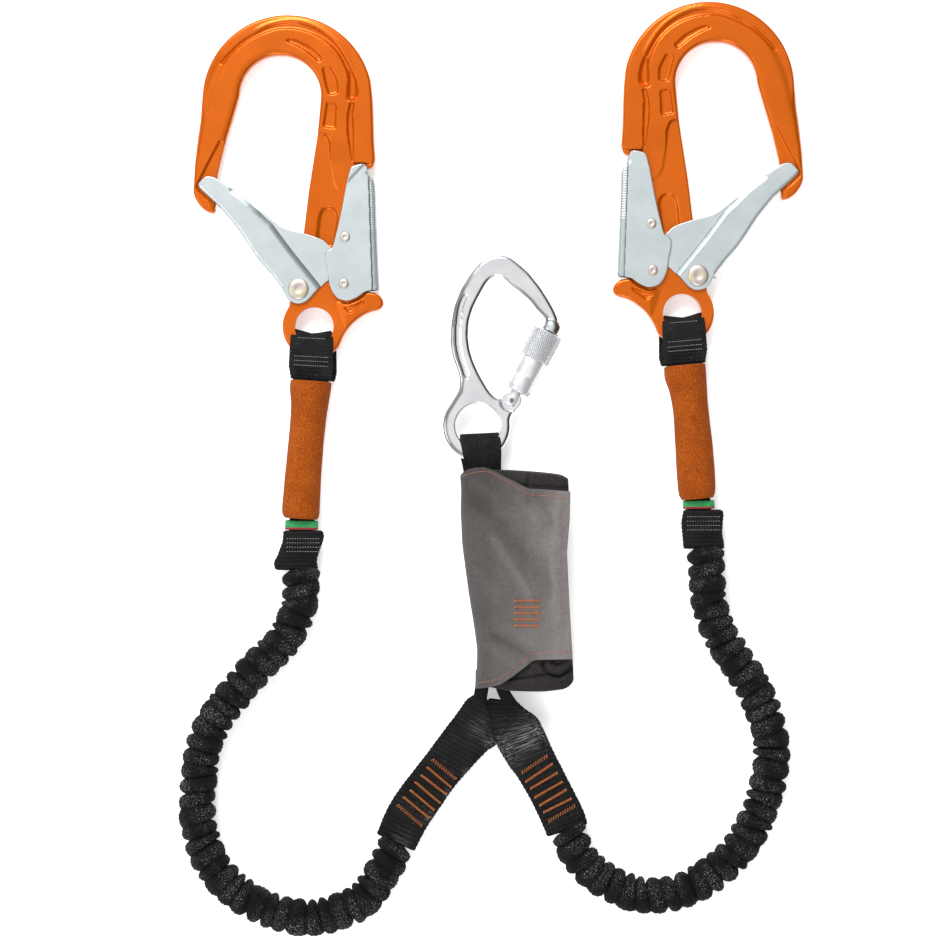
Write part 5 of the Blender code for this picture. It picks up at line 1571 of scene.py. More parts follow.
def strap(name, line, widths, thickness, rib, pitch, across=12, side=None, shape=None):
    """A strap along a line. widths are (share of the length, width). side gives the direction across
    the strap, which is level unless told. shape(share, place across) may push a point further."""
    points = spaced(line, 0.6 * MM)
    length = line_length(points)
    rows = len(points) - 1
    item = flat_grid(name, across, rows)
    widest = max(width for _, width in widths)
    for corner in item.data.vertices:
        row = min(rows, max(0, round((corner.co.y + 0.5) * rows)))
        share, place = row / rows, corner.co.x * 2
        before, after = points[max(row - 1, 0)], points[min(row + 1, rows)]
        along = (after - before).normalized()
        level = side or Vector((along.y, -along.x, 0)).normalized()
        up = level.cross(along).normalized()
        width = value_at(widths, share)
        wave = rib * math.cos(share * length / pitch * 2 * math.pi)
        edge = 1 + wave * 0.8 / width
        corner.co = points[row] + level * place * width / 2 * edge + up * wave
        if shape:
            corner.co += shape(share, place)
    mapped_in_metres(item, widest, length, 0.5)
    modifier(item, "SOLIDIFY", thickness=thickness, offset=0.0)
    bevelled(item, 0.22 * thickness, 2)
    return smooth_shaded(recalculated(item), 60)


def stitch_bar(name, start, end, height, width, pitch, radius, finish="orange_thread"):
    """A bar of zigzag stitches between two places on a strap, one thread end to end."""
    along = end - start
    count = max(4, round(along.length / pitch * 2))
    across = Vector((-along.y, along.x, 0)).normalized()
    points = []
    for number in range(count + 1):
        side = width / 2 if number % 2 else -width / 2
        lift = 0.5 * radius if number % 2 else 0.0
        points.append(start + along * number / count + across * side + Vector((0, 0, height + lift)))
    return thread_run(name, points, radius, finish)


def thread_run(name, points, radius, finish):
    """A thread through points, as a mesh."""
    data = bpy.data.curves.new(name, "CURVE")
    data.dimensions = "3D"
    spline = data.splines.new("POLY")
    spline.points.add(len(points) - 1)
    for target, point in zip(spline.points, points):
        target.co = (*point, 1)
    data.bevel_depth = radius
    data.bevel_resolution = 1
    data.use_fill_caps = True
    pick(new_object(name, data))
    bpy.ops.object.convert(target="MESH")
    return recalculated(wears(bpy.context.object, finish, ""))


def dashes(name, line, stitch, gap, radius, finish):
    """A row of short stitches along a line."""
    points = spaced(line, stitch + gap)
    pieces = []
    sunk = Vector((0, 0, -radius * 0.7))
    for number, (a, b) in enumerate(zip(points, points[1:])):
        along = (b - a).normalized()
        start, end = a + along * gap / 2, a + along * (gap / 2 + stitch)
        ends = [start + sunk, start + along * stitch * 0.3, start + along * stitch * 0.7, end + sunk]
        pieces.append(thread_run(f"{name}_{number}", ends, radius, finish))
    return joined(name, pieces)


# %% [markdown]
# ### Flattened tubes
#
# The arms, the sewn ends and the grips are all closed shapes between a left and a right edge. One
# helper wraps a grid round both edges as a flattened tube. `roundness` is 2 for an ellipse and more
# for a section with flat faces. Ribs are pushed up row by row, all the way round, and the grooves
# between them get painted shade.

# %% A tube between two edges
def rib_wave(distance, pitch):
    """Rounded ribs with narrow grooves between them: 1 on a rib, 0 in a groove."""
    return abs(math.sin(math.pi * distance / pitch)) ** 0.6


def along_pairs(edge, marks, distance):
    """The point of an edge at a distance that was measured along the middle."""
    number = 0
    while number < len(marks) - 2 and marks[number + 1] < distance:
        number += 1
    share = (distance - marks[number]) / max(marks[number + 1] - marks[number], 1e-9)
    return edge[number].lerp(edge[number + 1], clamped(share))


def flattened_tube(name, left, right, middle, half_height, roundness, rib=0.0, pitch=3.3 * MM,
                   step=0.5 * MM, end_round=1.2 * MM, lumps=0.0, seed=0.0, paired=False):
    """A closed tube between two edges, which are lists of points. Paired edges have one point each
    per rib, so they give its slant."""
    if paired:
        middles = [(a + b) / 2 for a, b in zip(left, right)]
        marks = [line_length(middles[:number + 1]) for number in range(len(middles))]
        length = marks[-1]
        rows = round(length / step)
        stations = [length * row / rows for row in range(rows + 1)]
        edges = [[along_pairs(edge, marks, station) for station in stations] for edge in (left, right)]
    else:
        length = max(line_length(left), line_length(right))
        rows = round(length / step)
        edges = [spaced(edge, line_length(edge) / rows) for edge in (left, right)]

    # Painted shade: the grooves between the ribs are painted darker.
    def crease_shade(row, turn):
        return 1 - rib_wave(row * length, pitch) if rib else 0.0

    def surface(row, turn):
        number = round(row * rows)
        first, second = (edge[min(number, len(edge) - 1)] for edge in edges)
        centre, half = (first + second) / 2, (second - first) / 2
        cosine, sine = math.cos(turn), math.sin(turn)
        across = math.copysign(abs(cosine) ** (2 / roundness), cosine)
        up = math.copysign(abs(sine) ** (2 / roundness), sine)
        near_end = min(row, 1 - row) * length
        closing = math.sqrt(max(0.0, 1 - (1 - min(1.0, near_end / end_round)) ** 2)) * 0.75 + 0.25
        rise = rib * rib_wave(row * length, pitch) if rib else 0.0
        place = Vector((centre.x, centre.y, turn * 0.004)) / (7 * MM)
        rise += lumps * noise.noise(place + Vector((seed, seed, 0)))
        height = (half_height - rib) * closing + rise * closing
        wide = half * (1 - (1 - closing) * 0.15) * (1 + (rise - rib) / half.length)
        point = Vector((centre.x, centre.y, middle)) + wide * across
        point.z += up * height
        return point

    width = sum((b - a).length for a, b in zip(*edges)) / len(edges[0])
    return smooth_shaded(wrapped_grid(name, rows, 48, surface, (2 * width, length), crease_shade), 70)


# %% [markdown]
# ### Webbing arms and their bar tacks
#
# Each arm is sewn to its elastic leg with seven bar tacks, dense zigzags of orange thread. The first
# and the last are open zigzags. The arm's face is ribbed across every 3.3 mm, and the ribs fan out
# where the arm is folded over the narrow loop.

# %% The arms
ARM_MIDDLE = 12.0 * MM
ARM_HALF = 3.0 * MM
ARM_EDGES = {
    "left": [
        ((473.5, 696.5), (487.6, 700)), ((466, 702), (490.2, 713)), ((461, 708.5), (492.2, 724)),
        ((456, 715.9), (495, 737.5)), ((451, 722.5), (496.9, 746)), ((443, 733), (486.5, 754)),
        ((432.4, 747.5), (472.5, 769)), ((416.6, 768), (455, 789)), ((396.5, 794.5), (436, 816)),
        ((384.5, 815), (424.5, 834)), ((375.4, 837), (414, 854.5)),
    ],
    "right": [
        ((488.2, 699.8), (517.5, 703.5)), ((488.2, 711), (526, 711)), ((490.2, 721), (535, 717)),
        ((492.8, 732), (540, 722.5)), ((496.2, 745.3), (543, 728.8)), ((500.5, 754.6), (546.5, 737.5)),
        ((508.4, 767.5), (553, 750.5)), ((519.9, 783.3), (562, 768.5)), ((534.3, 809.1), (574.5, 793)),
        ((542.9, 827.8), (584, 812)), ((547.5, 840), (589, 827)),
    ],
}
BAR_TACKS = {
    "left": [
        ((432, 761.3), (455.8, 781.3)), ((427, 769.3), (450.8, 789.3)), ((421, 777.3), (445.8, 796.3)),
        ((415, 784.3), (439.8, 805.3)), ((410, 792.3), (433.8, 812.3)), ((403, 799.3), (428.8, 820.3)),
        ((397, 807.3), (421.8, 828.3)),
    ],
    "right": [
        ((522, 774.9), (548, 757.9)), ((526, 783.9), (553, 765.9)), ((531, 790.9), (558, 774.9)),
        ((535, 799.9), (563, 783.9)), ((540, 807.9), (567, 791.9)), ((544, 814.9), (572, 800.9)),
        ((549, 823.9), (576, 807.9)),
    ],
}
FRAYED = {
    "left": [
        (479, 730, 7, 0.3), (490, 744, 5, 0.45), (467, 775, 3, 0.6), (448, 797, 3, 0.6),
        (432, 822, 4, 0.7), (400, 846, 6, 0.4),
    ],
    "right": [
        (537, 733, 9, 0.75), (520, 741, 9, 0.75), (506, 750, 8, 0.75), (510, 759, 7, 0.5),
        (532, 723, 8, 0.25),
    ],
}


def fray(item, places):
    """Marks where a webbing is frayed, in the attribute worn: (x, y, reach in mm, amount)."""
    worn = corner_values(item, "worn")
    spots = [(at(x, y).xy, reach * MM, amount) for x, y, reach, amount in places]
    for corner in item.data.vertices:
        flat = corner.co.xy
        near = [amount * math.exp(-(((flat - spot).length / reach) ** 2)) for spot, reach, amount in spots]
        worn[corner.index].value = max(near)


def webbing_arm(side):
    left, right = (smooth(on_grid(edge), 6) for edge in zip(*ARM_EDGES[side]))
    arm = flattened_tube(
        f"{side}_ribbed_arm", left, right, ARM_MIDDLE, ARM_HALF + 0.2 * MM, roundness=5, rib=0.5 * MM,
        lumps=0.25 * MM, seed=len(side), paired=True,
    )
    fray(arm, FRAYED[side])
    wears(arm, "black_webbing")
    tacks = []
    height = ARM_MIDDLE + ARM_HALF + 0.25 * MM
    for number, (start, end) in enumerate(BAR_TACKS[side]):
        open_zigzag = number in (0, len(BAR_TACKS[side]) - 1)
        sizes = (2.4 * MM, 1.9 * MM, 0.32 * MM) if open_zigzag else (1.5 * MM, 0.8 * MM, 0.46 * MM)
        tacks.append(stitch_bar(f"{side}_tack_{number}", at(*start), at(*end), height, *sizes))
    tacks = joined(f"{side}_bar_tacks", tacks)
    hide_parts(f"{side}_arm_strap")
    for piece in (arm, tacks):
        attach(piece, "absorber")
    print(side, "arm:", len(arm.data.polygons), "faces,", len(BAR_TACKS[side]), "bar tacks")


for side in SIGN:
    webbing_arm(side)

# %% [markdown]
# ### Narrow loops under the pack
#
# The absorber's own webbing leaves the pouch as two narrow straps, and each goes into the folded top
# of an arm. They are plain flat straps, two layers apiece.

# %% The narrow loops
LOOP_LINE = {
    "left": [(482.5, 672), (482, 688), (480.5, 698), (478, 710)],
    "right": [(500, 672), (501.5, 686), (505, 696), (510.5, 704.5), (514.5, 710)],
}
LOOP_WIDTH = {"left": 9.6 * MM, "right": 8.6 * MM}
LOOP_LAYERS = (10.3 * MM, 13.7 * MM)

for side in SIGN:
    layers = []
    for number, height in enumerate(LOOP_LAYERS):
        line = smooth(on_grid(LOOP_LINE[side], height), 8)
        layers.append(strap(f"{side}_layer_{number}", line, [(0, LOOP_WIDTH[side]), (1, LOOP_WIDTH[side])],
                            2.3 * MM, rib=0.08 * MM, pitch=2.2 * MM))
    loop = joined(f"{side}_narrow_loop", layers)
    wears(loop, "black_webbing")
    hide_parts(f"{side}_bottom_loop")
    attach(loop, "absorber")

# %% [markdown]
# ### Webbing through the hooks and the carabiner
#
# A strap goes through each hook's eye, over its rim and back down, so that both ends run into the
# grip. Seen from the side its line is a narrow loop. The same helper makes the loop that holds the
# carabiner. Grey stitches cross it where the two layers are sewn together.

# %% Strap loops
TAIL_MIDDLE = 12.8 * MM
STRAP_THICK = 2.3 * MM
HOOK_STRAPS = {
    "left": {"top": 331.5, "grip": 377.0, "end": 548.0, "centre": [(330, 311.0), (381, 309.5), (548, 299.0)],
             "stitches": (337.5, 356.0, 360.5, 365.0)},
    "right": {"top": 315.5, "grip": 361.0, "end": 531.0, "centre": [(312, 684.5), (365, 687.0), (531, 702.5)],
              "stitches": (321.0, 340.0, 345.0, 349.5)},
}


def centre_x(side, y):
    return value_at(HOOK_STRAPS[side]["centre"], y)


def loop_path(side, centre, shift):
    """The line of the strap: up the front, over the rim and down the back, as points in metres."""
    top, grip, end = (HOOK_STRAPS[side][key] for key in ("top", "grip", "end"))
    front = HOOK_MIDDLE + HOOK_HALF + 0.3 * MM + STRAP_THICK / 2
    back = HOOK_MIDDLE - HOOK_HALF - 0.3 * MM - STRAP_THICK / 2
    tail = 1.45 * MM
    places = [
        (end, TAIL_MIDDLE + tail), (grip + 12, TAIL_MIDDLE + tail), (grip, front - 1.3 * MM),
        (top + 22, front), (top + 12, front - 0.2 * MM), (top + 4, front - 2.6 * MM), (top, HOOK_MIDDLE),
        (top + 4, back + 2.6 * MM), (top + 12, back + 0.2 * MM), (top + 22, back),
        (grip, back + 2.2 * MM), (grip + 12, TAIL_MIDDLE - tail), (end, TAIL_MIDDLE - tail),
    ]
    points = []
    for number, (y, z) in enumerate(places):
        behind = shift if 7 <= number <= 10 else 0.0
        points.append(at(centre(y) + behind, y, z))
    return smooth(points, 8)


def hook_strap(side):
    top = HOOK_STRAPS[side]["top"]
    line = loop_path(side, lambda y: centre_x(side, y), 2.5 * SIGN[side])
    length = line_length(line)
    narrow = 17.4 * MM
    tail_length = (HOOK_STRAPS[side]["end"] - HOOK_STRAPS[side]["grip"] - 12) * GRID
    share = tail_length / length
    mouth = share + 9 * MM / length
    wide = share + 22 * MM / length
    half = [(0, narrow), (share, narrow), (mouth, 26.5 * MM), (wide, 31.5 * MM), (0.47, 30.0 * MM)]
    widths = half + [(0.5, 25.6 * MM)] + [(1 - place, width) for place, width in reversed(half)]
    flow = at(centre_x(side, top), top) - at(centre_x(side, top + 200), top + 200)
    across = Vector((flow.y, -flow.x, 0)).normalized()

    def dip(along, place):
        """The middle of the top fold dips and its edges ride up."""
        near_top = max(0.0, 1 - abs(along - 0.5) / 0.035)
        return Vector((0, (abs(place) - 0.6) * 3.2 * MM * near_top, 0))

    webbing = strap(f"{side}_eye_webbing", line, widths, STRAP_THICK, rib=0.22 * MM, pitch=2.6 * MM,
                    across=20, side=across, shape=dip)
    wears(webbing, "black_webbing")
    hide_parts(f"{side}_hook_webbing")
    surface_height = HOOK_MIDDLE + HOOK_HALF + 0.35 * MM + STRAP_THICK
    rows = []
    for number, y in enumerate(HOOK_STRAPS[side]["stitches"]):
        half = (17.5 if number else 14.0) * GRID
        middle = at(centre_x(side, y), y, surface_height - (0.0 if number else 0.9 * MM))
        ends = [middle - across * half, middle + across * half]
        rows.append(dashes(f"{side}_row_{number}", ends, 0.9 * MM, 0.7 * MM, 0.24 * MM, "grey_thread"))
    rows = joined(f"{side}_eye_stitches", rows)
    for piece in (webbing, rows):
        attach(piece, f"{side}_grip")
    print(side, "eye webbing:", round(length, 3), "m long")


for side in SIGN:
    hook_strap(side)

# %% The carabiner's loop
def carabiner_strap():
    front = CARABINER_MIDDLE + CARABINER_HALF + 0.3 * MM + STRAP_THICK / 2
    back = CARABINER_MIDDLE - CARABINER_HALF - 0.3 * MM - STRAP_THICK / 2
    places = [
        (483.5, 484, 14.0 * MM), (483.2, 472, 15.6 * MM), (482.5, 458, front), (481.5, 447, front),
        (480.5, 440, front - 1.6 * MM), (479.5, 434.5, CARABINER_MIDDLE), (479.5, 440, back + 1.6 * MM),
        (479, 447, back), (480, 458, back), (482, 472, 8.0 * MM), (483.5, 484, 9.6 * MM),
    ]
    line = smooth([at(*place) for place in places], 8)
    half = [(0, 25 * MM), (0.2, 26 * MM), (0.38, 28.5 * MM)]
    widths = half + [(0.5, 27.0 * MM)] + [(1 - place, width) for place, width in reversed(half)]
    webbing = strap("carabiner_webbing", line, widths, STRAP_THICK, rib=0.12 * MM, pitch=2.1 * MM, across=20,
                    side=Vector((1, 0.05, 0)).normalized())
    wears(webbing, "black_webbing")
    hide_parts("carabiner_strap")
    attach(webbing, "absorber")


carabiner_strap()
print("straps dressed")

# %% [markdown]
# ## Foam grips, bands and sewn ends
#
# The grip is a foam tube pulled over the doubled webbing. Its upper end flares into a soft lip. Below
# it sit a green and red band, which shows how far the leg may stretch, and the stitched end where the
# webbing, the elastic core and the sheath are sewn together.

# %% The foam grips
GRIP_STATIONS = {
    "left": [
        (309.7, 382, 42), (309, 390, 41.5), (308.5, 403, 38), (306.5, 422, 36), (303.5, 455, 36),
        (300.5, 492, 37.5), (299.3, 513, 38), (299.6, 519, 33),
    ],
    "right": [
        (686.5, 366, 42), (687.3, 376, 42), (690, 390, 38), (692.5, 410, 36), (696, 450, 38),
        (698, 480, 38.5), (698.8, 493, 37), (699.3, 499, 32),
    ],
}
GRIP_FLATTENING = 0.84
LIP_DEPTH = 14 * MM


def foam_grip(side):
    stations = smooth([at(x, y, width * GRID / 2) for x, y, width in GRIP_STATIONS[side]], 10)
    outer = spaced(stations, 0.8 * MM)[::-1]
    mouth = outer[-1]
    axis = (outer[-1] - outer[-12]).normalized()
    lip = []
    for step in range(1, 7):
        angle = math.pi * step / 6
        rolled = mouth.xy + axis.xy * 1.3 * MM * math.sin(angle)
        lip.append(Vector((*rolled, mouth.z - 1.3 * MM * (1 - math.cos(angle)))))
    inner = []
    for step in range(1, 11):
        deeper = mouth.xy - axis.xy * LIP_DEPTH * step / 10
        inner.append(Vector((*deeper, mouth.z - 2.6 * MM - 1.6 * MM * step / 10)))
    stations = outer + lip + inner
    rows = len(stations) - 1

    def surface(row, turn):
        station = stations[min(round(row * rows), rows)]
        radius = station.z
        wobble = noise.noise(Vector((station.x * 60, station.y * 60, math.cos(turn)))) * 0.25 * MM
        across = Vector((axis.y, -axis.x))
        x, y = station.xy + across * math.cos(turn) * (radius + wobble)
        return Vector((x, y, TAIL_MIDDLE + math.sin(turn) * (radius + wobble) * GRIP_FLATTENING))

    grip = wrapped_grid(f"{side}_foam_grip", rows, 56, surface, (0.08, 0.1))
    smooth_shaded(grip, 50)
    wears(grip, "orange_foam")
    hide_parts(f"{side}_grip")
    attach(grip, f"{side}_grip")
    print(side, "grip:", len(grip.data.polygons), "faces")


for side in SIGN:
    foam_grip(side)

# %% Bands and sewn ends
BAND_EDGES = {
    "left": ([(283.8, 520.4), (283.4, 530.2)], [(317.2, 521), (316.8, 530.6)]),
    "right": ([(684.3, 500.6), (684.6, 509.4)], [(716.4, 500.2), (716.8, 509)]),
}
STRIPE = 0.30
SEWN_EDGES = {
    "left": ([(281, 530.8), (281, 537), (279.5, 546), (275.5, 556), (272.5, 563), (273, 571)],
             [(322, 530.8), (323, 537), (320.5, 546), (317, 556), (316, 563), (317.5, 571)]),
    "right": ([(684.5, 509.8), (683.5, 518), (683, 530), (684, 540), (684.5, 549.5)],
              [(725, 509.8), (726, 517), (724.5, 530), (725.5, 540), (727, 549.5)]),
}
SEWN_ROWS = {"left": (539.0, 543.2, 547.6, 552.0), "right": (517.0, 521.4, 525.8, 530.2)}

for side in SIGN:
    left, right = (on_grid(edge) for edge in BAND_EDGES[side])
    split = [[a.lerp(b, 1 - STRIPE), b] for a, b in (left, right)]
    band = flattened_tube(f"{side}_stretch_band", left, right, TAIL_MIDDLE, 4.5 * MM, roundness=3.2,
                          end_round=0.7 * MM, step=0.35 * MM)
    wears(band, "green_band")
    stripe = flattened_tube(f"{side}_red_stripe", *split, TAIL_MIDDLE, 4.75 * MM, roundness=3.2,
                            end_round=0.4 * MM, step=0.25 * MM)
    wears(stripe, "red_stripe", "green_band")
    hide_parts(f"{side}_indicator_band")
    left, right = (smooth(on_grid(edge), 6) for edge in SEWN_EDGES[side])
    end = flattened_tube(
        f"{side}_stitched_end", left, right, TAIL_MIDDLE, 5.7 * MM, roundness=3.4, rib=0.5 * MM,
        pitch=2.9 * MM, lumps=0.5 * MM, seed=3.0 + SIGN[side], end_round=2.4 * MM,
    )
    wears(end, "black_webbing")
    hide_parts(f"{side}_sewn_end")
    rows = []
    for number, y in enumerate(SEWN_ROWS[side]):
        middle_x = sum(edge[1][0] for edge in SEWN_EDGES[side]) / 2
        ends = [at(middle_x + half, y, TAIL_MIDDLE + 5.5 * MM) for half in (-17, 17)]
        rows.append(dashes(f"{side}_sewn_row_{number}", ends, 1.0 * MM, 0.8 * MM, 0.24 * MM, "grey_thread"))
    rows = joined(f"{side}_sewn_stitches", rows)
    for piece in (band, stripe, end, rows):
        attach(piece, f"{side}_grip")
print("grips, bands and sewn ends dressed")

# %% [markdown]
# ## The pack
#
# The folded tear webbing lies in a dark cloth pouch, and a grey cover wraps round the pouch from the
# back, over the left side and across the front, where it closes with hook tape. The pouch is a
# stuffed bag: a slightly smaller solid is remeshed and blown up with the cloth solver. Its seams and
# gathers are pressed in afterwards, because they are finer than the solver's mesh.

# %% Edges of the pack
COVER_LEFT = [
    (474.9, 460.4), (490.6, 461.7), (510.5, 461.2), (542.7, 463), (558, 464.5), (575, 466.5), (598, 470),
    (628.5, 474.8), (648.4, 477.6), (659, 477.9), (674.4, 477.3), (690, 475.9),
]
COVER_RIGHT = [
    (468, 569.8), (491.4, 570.3), (521.3, 569.4), (552, 566.8), (567.2, 567.6), (605.5, 569.3),
    (636, 571.2), (659, 572.6), (690, 573.0),
]
COVER_TOP = [
    (460.4, 475.5), (463, 472.3), (468, 469.3), (476, 467.6), (484, 467.2), (490, 468.8), (499.6, 473.6),
    (514, 481.2), (526, 487.6), (530, 488.7), (544, 489.4), (570.5, 491.4),
]
COVER_BOTTOM = [
    (475.9, 689.6), (488, 687.4), (499.5, 684.6), (510, 677.6), (523, 667.8), (532, 660.8), (537, 659.6),
    (573, 659),
]
POUCH_OUTLINE = [
    (464, 478), (470, 470.4), (501, 468), (530, 470), (565, 472.6), (571, 476.4), (571.4, 500),
    (571, 600), (573, 655), (576, 676), (573.5, 687), (564, 692.6), (541, 695), (507, 693.5), (480, 688),
    (479, 665), (477, 640), (471, 598), (466, 545), (464, 500),
]


def over_tape(flat):
    """How near a place is to the hook tape under the flap, from 0 to 1."""
    low, high = at(532, 648).xy, at(565, 504).xy
    outside = max(low.x - flat.x, flat.x - high.x, low.y - flat.y, flat.y - high.y, 0.0)
    return 1 - min(outside / (5 * MM), 1.0)


def creased(item, folds, above, deepest=9 * MM, darkening=9 * MM, most=0.2):
    """Raises or lowers the cloth along lines. A fold is (grid places, height, width), both in mm.
    Valleys are given painted shade and ridges lose some of it, in a per-corner value that the finish
    reads. Over the tape the cloth can't sink, so there it only gets painted shade."""
    lines = []
    for places, height, width in folds:
        lines.append((smooth([place.xy for place in on_grid(places)], 5), height * MM, width * MM))
    deep = corner_values(item, "painted_shade")
    for corner in item.data.vertices:
        if corner.co.z < above:
            continue
        flat = corner.co.xy
        moved = 0.0
        for line, height, width in lines:
            far = distance_to(flat, line)
            if far < 2.6 * width:
                moved += height * math.exp(-((far / width) ** 2))
        corner.co.z += max(moved, -deepest * (1 - 0.93 * over_tape(flat)))
        deep[corner.index].value = min(max(-moved / darkening, -0.2), most)
    return item


# %% The pouch
FRONT_SECTION = [
    (0.3, 14), (0, 18), (0.7, 23), (3.2, 27.6), (7.4, 31), (13, 33.2), (21, 34.4), (32, 34.9), (48, 35),
    (62, 34.8), (75, 34),
]
FRONT_RISE = [(0.0, 18.0)] + FRONT_SECTION[2:]
POUCH_LOW, POUCH_HIGH = 1.6 * MM, 32.0 * MM
POUCH_RIGHT = [(469, 568), (492, 569), (512, 565.8), (600, 565.8), (640, 570.5), (660, 573), (694, 574.5)]
POUCH_FOLDS = [
    ([(502, 484.5), (530, 486.2), (568, 488)], -0.9, 0.8),
    ([(527, 472), (528, 480), (526, 492)], -1.3, 1.1), ([(531, 472), (532, 480), (530, 492)], 0.6, 1.2),
    ([(478, 679), (507, 678.5), (530, 677), (548, 674.5), (560, 676), (572, 671)], -1.8, 0.9),
    ([(545, 658), (543, 664), (546, 671), (554, 676), (563, 675), (570, 668)], -2.2, 1.2),
    ([(548, 660), (549, 667), (556, 671), (564, 668), (567, 660)], 1.5, 1.6),
    ([(553, 658), (556, 664), (563, 662)], -1.6, 1), ([(515, 660), (518, 668), (517, 676)], -1.2, 1),
    ([(530, 660), (533, 668), (531, 676)], 0.6, 1.1),
    ([(510, 684), (530, 686), (552, 684), (568, 678)], 0.9, 2.2),
]


def blown_up(item, voxel, pressure, cap):
    """Lets the cloth solver fill a closed shape with air. No point moves further than the cap."""
    modifier(item, "REMESH", mode="VOXEL", voxel_size=voxel)
    start = [corner.co.copy() for corner in item.data.vertices]
    pick(item)
    cloth = item.modifiers.new("cloth", "CLOTH")
    cloth.settings.use_pressure = True
    cloth.settings.uniform_pressure_force = pressure
    cloth.settings.effector_weights.gravity = 0
    for frame_number in range(1, 21):
        bpy.context.scene.frame_set(frame_number)
    bpy.ops.object.modifier_apply(modifier=cloth.name)
    bpy.context.scene.frame_set(1)
    for corner, before in zip(item.data.vertices, start):
        moved = corner.co - before
        if moved.length > cap:
            corner.co = before + moved.normalized() * cap
    return item


def stuffed_pouch():
    outline = [place.xy for place in on_grid(POUCH_OUTLINE)]
    middle = sum(outline, Vector((0, 0))) / len(outline)
    inset = [point + (middle - point).normalized() * 0.6 * MM for point in outline]
    pouch = plate("stuffed_pouch", inset, POUCH_LOW + 1.4 * MM, POUCH_HIGH - 1.2 * MM)
    bevelled(pouch, 3.4 * MM, 3)
    blown_up(pouch, 4.0 * MM, 4.0, 1.3 * MM)
    modifier(pouch, "SUBSURF", levels=2)
    for corner in pouch.data.vertices:
        wave = noise.noise(corner.co / (11 * MM)) * 0.5 * MM + noise.noise(corner.co / (4 * MM)) * 0.18 * MM
        corner.co.z = min(max(corner.co.z + wave, POUCH_LOW), POUCH_HIGH - 0.2 * MM + 0.4 * wave)
        row, column = PACK_CENTRE[1] - corner.co.y / GRID, corner.co.x / GRID + PACK_CENTRE[0]
        inside = (column - value_at(COVER_LEFT, row)) * 0.7
        corner.co.x += max(2.0 - inside, 0.0) * MM
        corner.co.z = min(corner.co.z, (value_at(FRONT_RISE, inside) - 1.9) * MM)
        corner.co.x = min(corner.co.x, at(value_at(POUCH_RIGHT, row), 0).x)
        corner.co.y = min(max(corner.co.y, at(0, 693.6).y), at(0, 469.4).y)
    # Painted shade in the pouch's folds, besides the folds themselves.
    creased(pouch, POUCH_FOLDS, 18 * MM, darkening=2.4 * MM, most=0.8)
    cut(pouch, box_between("mouth", at(464, 492, 3.2 * MM), at(505, 462, 21.2 * MM)))
    cut(pouch, box_between("outlet", at(473, 696, 6.0 * MM), at(513.5, 672, 18.2 * MM)))
    recalculated(pouch)
    smooth_shaded(pouch, 60)
    wears(pouch, "black_fabric")
    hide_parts("absorber_pouch")
    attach(pouch, "absorber")
    print("pouch:", len(pouch.data.polygons), "faces")


stuffed_pouch()

# %% [markdown]
# ### The wrap-round cover
#
# The cover is one piece of cloth in reality, and its front opens. Here it is two sheets that meet low
# on the left side: the back, which stays with the pouch, and the front. A sheet is a grid whose
# columns follow the cloth's section, round the pouch's shoulder, and whose rows run down the pack
# between the cut edges. The front is drawn slack: long soft folds run down from the corner of the cut.

# %% The cover's two sheets
BACK_SECTION = [
    (75, 0.9), (60, 0.7), (30, 0.7), (8, 0.7), (3.2, 0.9), (1.2, 2), (0.5, 4.6), (0.7, 10), (1.1, 16),
]
FRONT_FOLDS = [
    ([(495, 540), (507, 558), (520, 578), (530, 594)], 1.8, 4),
    ([(505, 531), (521, 550), (534, 568), (544, 588)], -1.9, 6.4),
    ([(519, 500), (531, 512), (541, 524)], 1, 3.2), ([(538, 498), (545, 510), (551, 524)], -1.4, 3.2),
    ([(552, 548), (556, 580), (560, 620)], 0.9, 4.2), ([(546, 560), (543, 590), (541, 618)], -0.9, 4),
    ([(494, 637), (510, 645), (526, 654), (533, 659)], -1.8, 2.8),
    ([(486, 646), (500, 655), (513, 664)], 1, 2.8), ([(504, 628), (520, 635), (534, 646)], 1, 3.2),
    ([(474, 506), (490, 516), (506, 524)], -0.9, 4), ([(470, 570), (484, 580), (496, 600)], 0.7, 4.4),
    ([(531, 489), (530, 497), (528, 506)], -0.8, 1.6), ([(531, 664), (533, 656), (530, 648)], -1.1, 1.3),
    ([(466, 480), (480, 488), (496, 498)], 0.8, 4), ([(560, 500), (557, 520), (560, 545)], 0.8, 3),
]
CUT_EDGES = (COVER_TOP, COVER_BOTTOM)
COVER_HEIGHT = 155 * MM
CLOTH = 1.1 * MM
# Painted shade on the cover's front, by column and row: the left panel, which turns away from the light, is
# painted darker, and so is the cloth along the top.
PANEL_SHADE = [(489, 0.70), (498, 0.58), (522, 0.44), (548, 0.14), (556, 0)]
TOP_SHADE = [(500, 0.16), (516, 0.0)]


